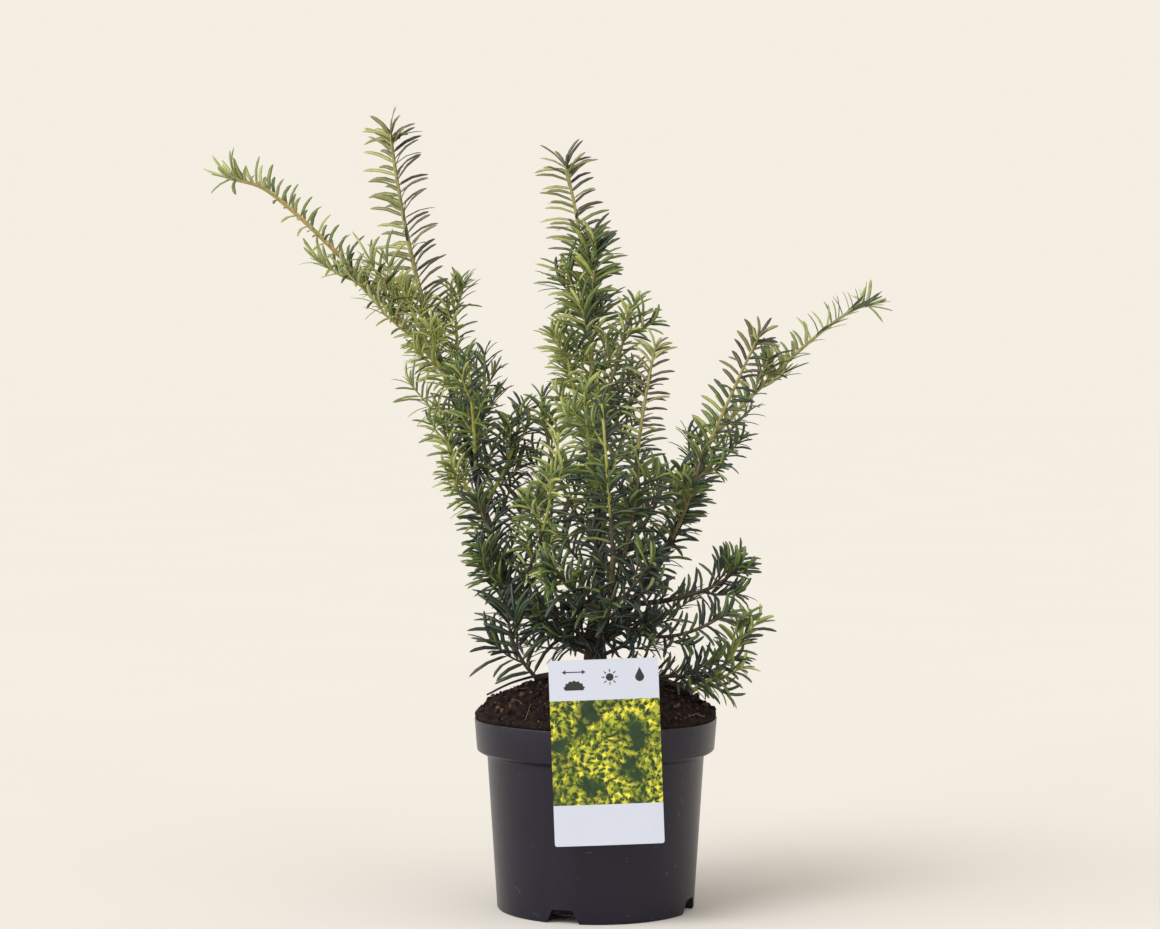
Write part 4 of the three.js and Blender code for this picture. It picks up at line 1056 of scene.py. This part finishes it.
def make_crumbs(finishes):
    """Loose crumbs of peat and bark over the heap, each a lump of two poles and two rings,
    squeezed and turned by draws."""
    places = np.column_stack(on_soil(CRUMB["count"], 4, SOIL["spill"] - 0.5))
    lump = lathe([(0, -1), (0.8, -0.55), (0.85, 0.5), (0, 1)], 6)
    surfaces = []
    for i, place in enumerate(places):
        size = CRUMB["size"] + CRUMB["size_range"] * chance(6, i) ** 3
        width = CRUMB["width"] + CRUMB["width_range"] * chance(7, i)
        squeeze = np.array([CRUMB["length"], width, CRUMB["height"]]) * size
        turn = np.array(Euler([6.28 * chance(8, 3 * i + k) for k in range(3)]).to_matrix())
        points = (lump.points * squeeze) @ turn.T + (place + [0, 0, CRUMB["proud"] * size])
        surfaces.append(lump._replace(points=points))
    tones = (chance(9, np.arange(CRUMB["count"])) * len(finishes)).astype(int)
    faces = [np.repeat(tones, len(lump.quads)), np.repeat(tones, len(lump.triangles))]
    piece("peat_crumbs", join(surfaces), finishes, face_materials=np.concatenate(faces))


def make_fibres(finish):
    """Fine root and peat fibres that lie over the heap in shallow arcs."""
    places = np.column_stack(on_soil(FIBRE["count"], 12, SOIL["spill"] - 3))
    count, surfaces = FIBRE["points"], []
    t = np.linspace(0, 1, count)
    for i, place in enumerate(places):
        length = FIBRE["length"] + FIBRE["length_range"] * chance(13, i)
        angle = np.radians(360 * chance(14, i)) + swing(FIBRE["curl"], 15, i) * (t - 0.5)
        step = np.column_stack([np.cos(angle), np.sin(angle)]) * length / (count - 1)
        flat = place[:2] + np.cumsum(step, axis=0) - step[0]
        flat = flat * np.minimum(1, (SOIL["spill"] - 1) / np.maximum(np.hypot(*flat.T), 1))[:, None]
        rise = FIBRE["lift"] + FIBRE["arch"] * np.sin(math.pi * t)
        path = np.column_stack([flat, soil_height(np.hypot(*flat.T)) + soil_relief(*flat.T) + rise])
        radius = FIBRE["radius"] + FIBRE["radius_range"] * chance(16, i)
        surfaces.append(tube(path, np.full(count, radius), 5))
    piece("soil_fibres", join(surfaces), [finish])


# ------------------------------------------------------------------ label


def label_place(points):
    """Points of the upright label, tilted and moved to where it hangs."""
    tilt = math.radians(LABEL["tilt"])
    x, y, z = points.T
    return np.column_stack([x * math.cos(tilt) - z * math.sin(tilt) + LABEL["x"], y,
                            x * math.sin(tilt) + z * math.cos(tilt) + LABEL["z"]])


def card_front(x):
    """The card's front face: flat in the middle and bowed back towards its sides."""
    return -(POT["rim"] + SEAT_GAP + LABEL["thickness"]) + LABEL["bow"] * (x / LABEL["width"] * 2) ** 2


def make_label(card, print_finish):
    """The card: rows of points whose width follows the rounded corners, the middle rows
    printed."""
    half, corner = LABEL["height"] / 2, LABEL["corner"]
    bend = corner * (1 - np.cos(np.radians([0, 22, 45, 67, 90])))
    low = -half + LABEL["picture_low"] * LABEL["height"]
    high = -half + LABEL["picture_high"] * LABEL["height"]
    z = np.concatenate([-half + bend[:-1], np.linspace(-half + corner, low, 6),
                        np.linspace(low, high, 14)[1:], np.linspace(high, half - corner, 6)[1:],
                        half - bend[-2::-1]])
    past = np.clip(np.abs(z) - (half - corner), 0, corner)
    width = LABEL["width"] / 2 - corner + np.sqrt(np.maximum(corner ** 2 - past ** 2, 0))
    u = np.linspace(-1, 1, 25)
    x = (width[:, None] * u).ravel()
    front = np.column_stack([x, card_front(x), np.repeat(z, len(u))])
    back = front + [0, LABEL["thickness"], 0]
    surface = shell(label_place(front), label_place(back), len(z), len(u))
    printed = np.repeat((z[:-1] >= low - 0.01) & (z[1:] <= high + 0.01), len(u) - 1)
    faces = np.zeros(len(surface.quads), int)
    faces[:len(printed)] = printed
    piece("label_card", surface, [card, print_finish], ["plant_label"], faces, 40)


def make_tongue(card):
    """The label's strap: a flat band swept over the rim along two rounded bends, down into the
    soil."""
    back, high, inner = -(POT["rim"] + SEAT_GAP), LABEL["bridge"], LABEL["tongue_y"]
    line = rounded([(back, high - LABEL["tongue_top"], 0), (back, high, LABEL["tongue_bend"]),
                    (inner, high, LABEL["tongue_bend"]), (inner, LABEL["tongue_foot"], 0)], 7)
    tangent = unit(np.gradient(line, axis=0))
    normal = np.column_stack([-tangent[:, 1], tangent[:, 0]])
    u = np.linspace(-1, 1, 7) * LABEL["tongue"] / 2
    faces = []
    for side in (LABEL["tongue_half"], -LABEL["tongue_half"]):
        y, z = (line + normal * side).T
        faces.append(label_place(np.column_stack([np.tile(u, len(line)), np.repeat(y, len(u)),
                                                  np.repeat(z - LABEL["z"], len(u))])))
    piece("label_tongue", shell(*faces, len(line), len(u)), [card], smooth_angle=40)


def prism(outline):
    """A small flat shape printed on the card: its outline as a thin plate on the front face."""
    x, z = np.asarray(outline, float).T
    front = np.column_stack([x, card_front(x) - INK["proud"], z])
    middle, depth = front.mean(0), [0, INK["depth"], 0]
    points = np.vstack([front, front + depth, middle, middle + depth])
    return outward(label_place(points), *closed_rings(2, len(x)))


def arrow(x, z, half=6, thickness=0.35, point=8, barb=2.6, barb_half=1.5):
    """A level bar with a triangular head past each end."""
    shapes = [[(x - half, z - thickness), (x + half, z - thickness), (x + half, z + thickness),
               (x - half, z + thickness)]]
    for way in (-1, 1):
        tip = x + way * point
        back = tip - way * barb
        shapes.append([(tip, z), (back, z + barb_half), (back, z - barb_half)][::way])
    return shapes


def bush(x, z, width=6.4, height=5.2, foot=0.7, foot_half=6, points=15, spikes=0.16):
    """A half oval whose every second point stands out, on a low foot."""
    angle = np.radians(np.linspace(180, 0, points))
    reach = 1 + spikes * (np.arange(points) % 2)
    outline = np.column_stack([x + width * reach * np.cos(angle), z + height * reach * np.sin(angle)])
    return [np.vstack([outline, [(x + foot_half, z - foot), (x - foot_half, z - foot)]])]


def sun(x, z, radius=2.6, start=3.5, end=5.6, foot=0.45, tip=0.2):
    """A disc with eight tapered rays."""
    angle, centre = np.radians(np.arange(0, 360, 20)), np.array([x, z])
    shapes = [np.column_stack([x + radius * np.cos(angle), z + radius * np.sin(angle)])]
    for ray in np.radians(np.arange(0, 360, 45)):
        out, wide = np.array([math.cos(ray), math.sin(ray)]), np.array([-math.sin(ray), math.cos(ray)])
        shapes.append([centre + out * start + wide * foot, centre + out * end + wide * tip,
                       centre + out * end - wide * tip, centre + out * start - wide * foot])
    return shapes


def drop(x, z, radius=3, height=6.6):
    """A round drop drawn up to a point."""
    angle = np.radians(np.linspace(-220, 40, 17))
    outline = np.column_stack([x + radius * np.cos(angle), z + radius * np.sin(angle)])
    return [np.vstack([outline, [(x, z + height)]])]


def make_signs(ink):
    """Plain care signs along the card's top: a spread arrow over a low bush, a sun and a drop."""
    top = LABEL["height"] / 2
    shapes = arrow(-20, top - 8) + bush(-20, top - 19.5) + sun(4, top - 12) + drop(24, top - 12.5)
    piece("label_signs", join([prism(shape) for shape in shapes]), [ink], smooth_angle=30)


# ------------------------------------------------------------------ trunk and boughs


def bark_relief(length, girth, rings, sides, seed):
    """Ridges along a limb that wander and break into plates, with fine flakes, in millimetres."""
    u, v = np.meshgrid(np.arange(sides) / sides, np.linspace(0, length, rings))
    ridges, across_limb = max(int(girth / BARK["ridge"]), 4), girth / math.pi
    sway = BARK["sway"] * soft_noise(u * 3, v / BARK["sway_length"], seed, 3)
    ridge = np.abs(soft_noise((u + sway * 0.2) % 1 * ridges, v / BARK["ridge_length"], seed + 1, ridges))
    flakes = soft_noise(u * ridges * 2, v / BARK["flake_length"], seed + 2, ridges * 2)
    return across_limb * (BARK["ridge_depth"] * (0.5 - ridge * 1.4) + BARK["flake_depth"] * flakes)


def make_limb(limb, number, old, young):
    """A limb's bark: a fine tube along its path, rooted in what carries it, with a swollen foot.
    The slim end of a leafy limb has young bark."""
    path = smooth_path(limb.path, BARK["step"])
    share, length, sides = np.linspace(0, 1, len(path)), path_length(path), BARK["sides"]
    if limb.name == "trunk":
        radius, sides = trunk_radius(share), BARK["trunk_sides"]
        path[0] -= UP * BARK["sunk"]
    else:
        swollen = 1 + BARK["swelling"] * np.exp(-share * length / BARK["swelling_reach"])
        radius = (limb.radius + (limb.tip_radius - limb.radius) * share) * swollen
    relief = bark_relief(length, 2 * math.pi * radius.mean(), len(path), sides, 40 + number * 5)
    surface, leafy = tube(path, radius, sides, relief), limb.name in LEAFY_LIMBS
    ring = np.repeat(np.arange(len(surface.quads) // sides) / len(path), sides)
    wander = 0.1 * soft_noise(np.arange(len(ring)) % sides / sides * 4, ring * 14, number, 4)
    is_young = (ring + wander > BARK["young_from"]) & leafy
    ends = np.full(len(surface.triangles), int(leafy))
    piece("bark_" + limb.name, surface, [old, young], [limb.name],
          np.concatenate([is_young.astype(int), ends]))


# ------------------------------------------------------------------ shoots


def shoot_surface(shoot):
    """A shoot's stem: a tube with low ridges that ends in a small bud."""
    stem = shoot.order == 0
    path = smooth_path(shoot.path, SHOOT["step"] if stem else SHOOT["twig_step"])
    share = np.linspace(0, 1, len(path))
    radius = shoot.radius + (shoot.tip_radius - shoot.radius) * share
    from_bud = (1 - share) * shoot.length - SHOOT["bud_at"]
    radius = radius * (1 + SHOOT["bud"] * np.exp(-from_bud ** 2 / SHOOT["bud_spread"]))
    sides = SHOOT["sides"] if stem else SHOOT["twig_sides"]
    ridges = np.where(np.arange(sides) % 2 == 0, SHOOT["ridge"], -SHOOT["ridge"])
    return tube(path, radius, sides, ridges * radius[:, None])


def make_shoots(group, shoots, wood):
    """The stems and twigs of a group of masses: brown far from the tip, then in the colour of
    their mass's young wood."""
    names, surfaces = list(YOUNG_WOOD), [shoot_surface(shoot) for shoot in shoots]
    on_quads, on_triangles = [], []
    for shoot, surface in zip(shoots, surfaces):
        young = names.index(LOOKS[shoot.mass].stem)
        middles = surface.points[surface.quads].mean(1)
        from_tip = np.linalg.norm(middles - shoot.path[-1], axis=1)
        old = (from_tip > SHOOT["old_from"]) & (middles[:, 2] < SHOOT["old_below"]) & (shoot.order == 0)
        on_quads.append(np.where(old, names.index("brown"), young))
        on_triangles.append(np.full(len(surface.triangles), young))
    piece("shoots_" + group, join(surfaces), wood,
          face_materials=np.concatenate(on_quads + on_triangles))


# ------------------------------------------------------------------ needles

# share of the length, half the width and half the thickness at each ring of a needle
NEEDLE_RINGS = np.array([(0.0, 0.28, 0.6), (0.06, 0.4, 0.9), (0.16, 0.95, 1.0), (0.5, 1.0, 1.0),
                         (0.8, 0.93, 0.85), (0.94, 0.56, 0.6)])
SUNK_ROOT, KEEL = -0.03, 0.8

Needles = namedtuple("Needles", "root out bend top length width sway tint bronzed")


def needle_surface(needles):
    """Many needles as one surface. Each is a flat blade of six four-cornered rings (two edges,
    a ridge above, a keel below) between a sunk root and a point. Its middle is pushed towards
    `bend` by a parabola, and its tip falls away from `top` with the square of the length. Puts
    out the surface, and which faces of a needle look up."""
    root, out, bend, top, length, width, sway = needles[:7]
    side = unit(np.cross(out, top))
    top = np.cross(side, out)
    shares = np.concatenate([NEEDLE_RINGS[:, 0], [SUNK_ROOT, 1.0]])
    belly = 4 * shares * (1 - shares)

    def reach(direction, amount):
        return (direction * length[:, None])[:, None] * amount[..., None]

    spine = (root[:, None] + reach(out, shares) + reach(bend, NEEDLE["bow"] * belly)
             - reach(top, NEEDLE["droop"] * shares ** 2) + reach(side, sway[:, None] * belly))
    half = side[:, None] * ((width / 2)[:, None] * NEEDLE_RINGS[:, 1])[..., None]
    rise = top[:, None] * (NEEDLE["thickness"] / 2 * NEEDLE_RINGS[:, 2])[:, None]
    rings = spine[:, :-2]
    body = np.stack([rings - half, rings + rise, rings + half, rings - rise * KEEL], 2)
    points = np.concatenate([body.reshape(len(root), -1, 3), spine[:, -2:]], 1)
    quads, triangles = closed_rings(len(NEEDLE_RINGS), 4)
    offset = np.arange(len(root))[:, None, None] * points.shape[1]
    surface = outward(points.reshape(-1, 3), (quads + offset).reshape(-1, 4),
                      (triangles + offset).reshape(-1, 3))
    above = [True, True, False, False]
    return surface, np.tile(above, len(NEEDLE_RINGS) - 1), np.tile(above, 2)


def needle_places(length, spacing, star, leafy_from):
    """Distances from the tip at which needles stand: close at the tip, closer still where it is
    a star, then evenly spaced."""
    closing = np.cumsum(np.linspace(0.5 - 0.25 * star, 2 - 1.15 * star, 6 + int(11 * star)))
    last = length * (1 - leafy_from) - NEEDLE["foot_clear"]
    rest = np.arange(closing[-1] + spacing, max(last, closing[-1]), spacing)
    return np.concatenate([closing, rest])


def facing(points, weight):
    """The way that a shoot's needles turn their upper sides."""
    middle = points.mean(0)
    front = weight * FACING["front"] * np.clip(1 - middle[1] / FACING["front_depth"], -1, 1)
    out = weight * FACING["out"] * middle / FACING["out_reach"]
    return unit(np.array([out[0], out[1] - front, FACING["up"]]))


def tip_angle(widest, star, from_tip):
    """The angle between needles and shoot: small at the tip and opening exponentially, with a
    burst of wide needles just below the tip where it is a star."""
    at_tip = NEEDLE["tip_spread"] - NEEDLE["star_spread"] * star
    reach = NEEDLE["opening"] - NEEDLE["star_opening"] * star
    burst = np.exp(-((from_tip - NEEDLE["burst_at"]) / NEEDLE["burst_reach"]) ** 2)
    opened = 1 - np.exp(-from_tip / reach)
    return at_tip + (widest - at_tip) * opened + star * NEEDLE["burst"] * burst


def needles_on(shoot, bark=0.0, leafy_from=0.0):
    """The needles of one shoot: round it by the golden angle, pressed towards two ranks, closing
    up towards its tip, each bent towards that tip; with the tint that each takes."""
    look, seed = LOOKS[shoot.mass], shoot.seed
    star = look.star if shoot.order == 0 else 0.3 * look.star
    from_tip = needle_places(shoot.length, look.spacing, star, leafy_from)
    index, share = np.arange(len(from_tip)), 1 - from_tip / shoot.length
    path = smooth_path(shoot.path, SHOOT["step"])
    along = direction_along(path, share)
    face = facing(shoot.path, look.front)
    over = unit(face - along * (along @ face)[:, None])
    side = np.cross(along, over)

    turn = np.radians(index * GOLDEN_ANGLE + swing(VARIED["turn"], seed, 200 + index))[:, None]
    starry = (star * np.exp(-from_tip / NEEDLE["star_reach"]))[:, None]
    pressed = NEEDLE["flattening"] * (1 - 0.5 * starry)
    lift = look.lift * (1 - np.abs(along[:, 2]))[:, None] * (1 - starry)
    away = unit(side * np.cos(turn) + over * (np.sin(turn) * (1 - pressed) + lift))
    angle = tip_angle(look.spread, star, from_tip) + swing(VARIED["spread"], seed, 400 + index)
    angle = np.radians(angle)[:, None]
    out = along * np.cos(angle) + away * np.sin(angle)
    bend = unit(along - out * (along * out).sum(1, keepdims=True))
    top = unit(over * 0.8 + bend * 0.55 + side * swing(VARIED["roll"], seed, 700 + index)[:, None])
    root = point_along(path, share) + away * bark

    closing = look.end + (1 - look.end) * np.minimum(from_tip / NEEDLE["closing"], 1)
    varied = 1 + swing(VARIED["length"], seed, 600 + index)
    length = NEEDLE["length"] * look.size * varied * closing * (1 - NEEDLE["shortening"] * (share - 0.2))
    width = NEEDLE["width"] * look.breadth * (1 + swing(VARIED["width"], seed, 800 + index))
    sway = swing(VARIED["sway"], seed, 900 + index)
    tint = look.tint + needle_tint(root, out, from_tip, look, seed, index)
    bronzed = (shoot.order == 0) & (from_tip < BRONZED.get(shoot.mass, 0))
    return Needles(root, out, bend, top, length, width, sway, tint, bronzed)


def needle_tint(root, out, from_tip, look, seed, index):
    """How much fresher a needle is than its mass: fresher towards the tip; paler pointing left and
    darker pointing right, painted light from the left lamps; darker deep and low inside the crown
    and pointing to the back, painted shade; and varied by shoot and by needle."""
    # painted shade: darker deep and low inside the crown, and (by TINT front) where a needle points to the
    # back, away from the lamps
    inside = np.clip(1 - np.hypot(root[:, 0], root[:, 1]) / TINT["painted_shade_radius"], 0, 1)
    painted_inner_shade = inside * np.clip((TINT["painted_shade_height"] - root[:, 2]) / TINT["painted_shade_over"], 0, 1)
    # painted light: a needle pointing left is paler and one pointing right darker, by its look's share of
    # light from the left lamps
    return (look.tip * np.exp(-from_tip / TINT["tip_reach"]) - TINT["painted_inner_shade"] * painted_inner_shade
            - look.sunny * out[:, 0] - TINT["front"] * out[:, 1] + swing(TINT["by_shoot"], seed, 77)
            + swing(TINT["by_needle"], seed, 1000 + index))


def limb_needles(limb, number):
    """The needles that a leafy limb carries itself, without those at its very tip."""
    stand_in = Shoot(limb.name, 0, limb.path, path_length(limb.path), limb.radius, limb.tip_radius,
                     900 + number)
    found = needles_on(stand_in, limb.tip_radius * 0.8, LEAFY_LIMBS[limb.name].start)
    return Needles(*(value[6:] for value in found))


def is_clear(needles, starts, ends, radii):
    """True for each needle whose middle and tip keep out of wood, soil and label."""
    clear = np.ones(len(needles.root), bool)
    for place in (0.4, 0.7, 1.0):
        bow = 4 * NEEDLE["bow"] * place * (1 - place)
        probe = needles.root + (needles.out * place + needles.bend * bow) * needles.length[:, None]
        for part in range(0, len(probe), 400):
            rows = slice(part, part + 400)
            near = nearest(probe[rows], starts, ends)
            clear[rows] &= (near > radii[None] + CLEAR["wood"]).all(1)
        x, y, z = probe.T
        radius = np.hypot(x, y)
        in_pot = radius < POT["rim"] + CLEAR["pot"]
        clear &= ~(in_pot & (z < soil_height(radius) + CLEAR["soil"]))
        clear &= z > POT["height"] - CLEAR["hanging"]
        in_label = np.abs(x - LABEL["x"]) < LABEL["width"] / 2 + CLEAR["label_side"]
        in_label &= y < -POT["rim"] + CLEAR["label"]
        clear &= ~(in_label & (z < LABEL["z"] + LABEL["height"] / 2 + CLEAR["label"]))
    return clear


def make_needles(group, needles, finishes):
    """A group's needles as one piece: each in its tint, with a duller or paler underside."""
    surface, quads_above, triangles_above = needle_surface(needles)
    tone = np.clip(np.round(needles.tint), 0, TONES - 1).astype(int)
    upper = (tone + TONES * needles.bronzed)[:, None]
    under = (len(NEEDLE_TINTS) + (tone >= PALE_FROM))[:, None]
    faces = [np.where(above, upper, under).ravel() for above in (quads_above, triangles_above)]
    piece("needles_" + group, surface, finishes, list(FOLIAGE[group]), np.concatenate(faces))


# ------------------------------------------------------------------ the whole plant


def make_plant():
    """Plans the whole plant, then makes its bark, and its shoots and needles group by group."""
    limbs = plan_limbs()
    shoots = plan_shoots(limbs)
    add_finer_twigs(shoots, limbs)
    add_limb_twigs(shoots, limbs)
    shoots = [shortened(shoot) for shoot in shoots]
    old = make_bark("bark_old", (24, 19, 18), (60, 46, 38), 0.85, 110.0)
    young = make_bark("bark_young", (66, 54, 32), (108, 94, 54), 0.7, 130.0)
    for number, limb in enumerate(limbs.values()):
        make_limb(limb, number, old, young)

    wood = [*shoots, *limbs.values()]
    starts, ends = straight_pieces([part.path for part in wood])
    radii = np.concatenate([np.full(len(part.path) - 1, max(part.radius, part.tip_radius))
                            for part in wood])
    young_wood, finishes = make_young_wood(), make_needle_finishes()
    for group, masses in FOLIAGE.items():
        leafy = {name: number for number, (name, limb) in enumerate(LEAFY_LIMBS.items())
                 if limb.group == group}
        own = [shoot for shoot in shoots if shoot.mass in masses or shoot.mass in leafy]
        make_shoots(group, own, young_wood)
        parts = [needles_on(shoot) for shoot in own]
        parts += [limb_needles(limbs[name], number) for name, number in leafy.items()]
        needles = Needles(*(np.concatenate(values) for values in zip(*parts)))
        clear = is_clear(needles, starts, ends, radii)
        make_needles(group, Needles(*(value[clear] for value in needles)), finishes)


# ------------------------------------------------------------------ studio


def make_camera():
    """A camera in front of the plant, square to it and tilted down."""
    camera = in_scene("camera", bpy.data.cameras.new("camera"))
    camera.location = (CAMERA["x"] * MM, CAMERA["y"] * MM, CAMERA["z"] * MM)
    camera.rotation_euler = (math.radians(90 - CAMERA["tilt"]), 0, 0)
    camera.data.lens = CAMERA["lens"]
    camera.data.sensor_width = CAMERA["sensor"]
    bpy.context.scene.camera = camera


def make_lamp(name, bearing, height, width, strength, tone):
    """A soft lamp at infinity: where it stands round the plant, how high, and how wide it looks."""
    light = bpy.data.lights.new(name, "SUN")
    light.energy = strength
    light.angle = math.radians(width)
    light.color = tone
    in_scene(name, light).rotation_euler = (0, math.radians(90 - height), math.radians(bearing))


def make_studio():
    """A wide pale floor, an even cream surround, and soft lamps from the front left, from the
    side and, weakly, from the front right."""
    angle = full_turn(FLOOR_SIDES)
    rim = np.stack([FLOOR_RADIUS * np.cos(angle), FLOOR_RADIUS * np.sin(angle), angle * 0], -1)
    floor = in_scene("floor", polygons("floor", rim, [list(range(FLOOR_SIDES))]))
    floor.data.materials.append(mottled("pale_floor", (200, 198, 194), (203, 201, 197), 2.0, 0.4, 1.0,
                                        Specular_IOR_Level=0.0))
    world = bpy.data.worlds.new("studio")
    bpy.context.scene.world = world
    world.use_nodes = True
    sky = world.node_tree.nodes["Background"]
    sky.inputs["Color"].default_value = colour(*BACKDROP)
    sky.inputs["Strength"].default_value = 1.0
    for lamp in LAMPS:
        make_lamp(*lamp)
    bpy.context.scene.view_settings.view_transform = "Standard"


make_camera()
make_studio()
make_pot(make_pot_plastic())
peat = make_peat()
make_soil(peat)
make_crumbs([peat] + [mottled(name, dark, light, 300.0, 0.2, 0.9, Specular_IOR_Level=0.1)
                      for name, dark, light in CRUMB_TONES])
make_fibres(mottled("fibre", (84, 64, 46), (128, 104, 76), 200.0, 0.2, 0.8))
card = make_card()
make_label(card, make_leaf_print())
make_tongue(card)
make_signs(mottled("ink", (20, 23, 25), (34, 38, 40), 200.0, 0.3, 0.5))
make_plant()
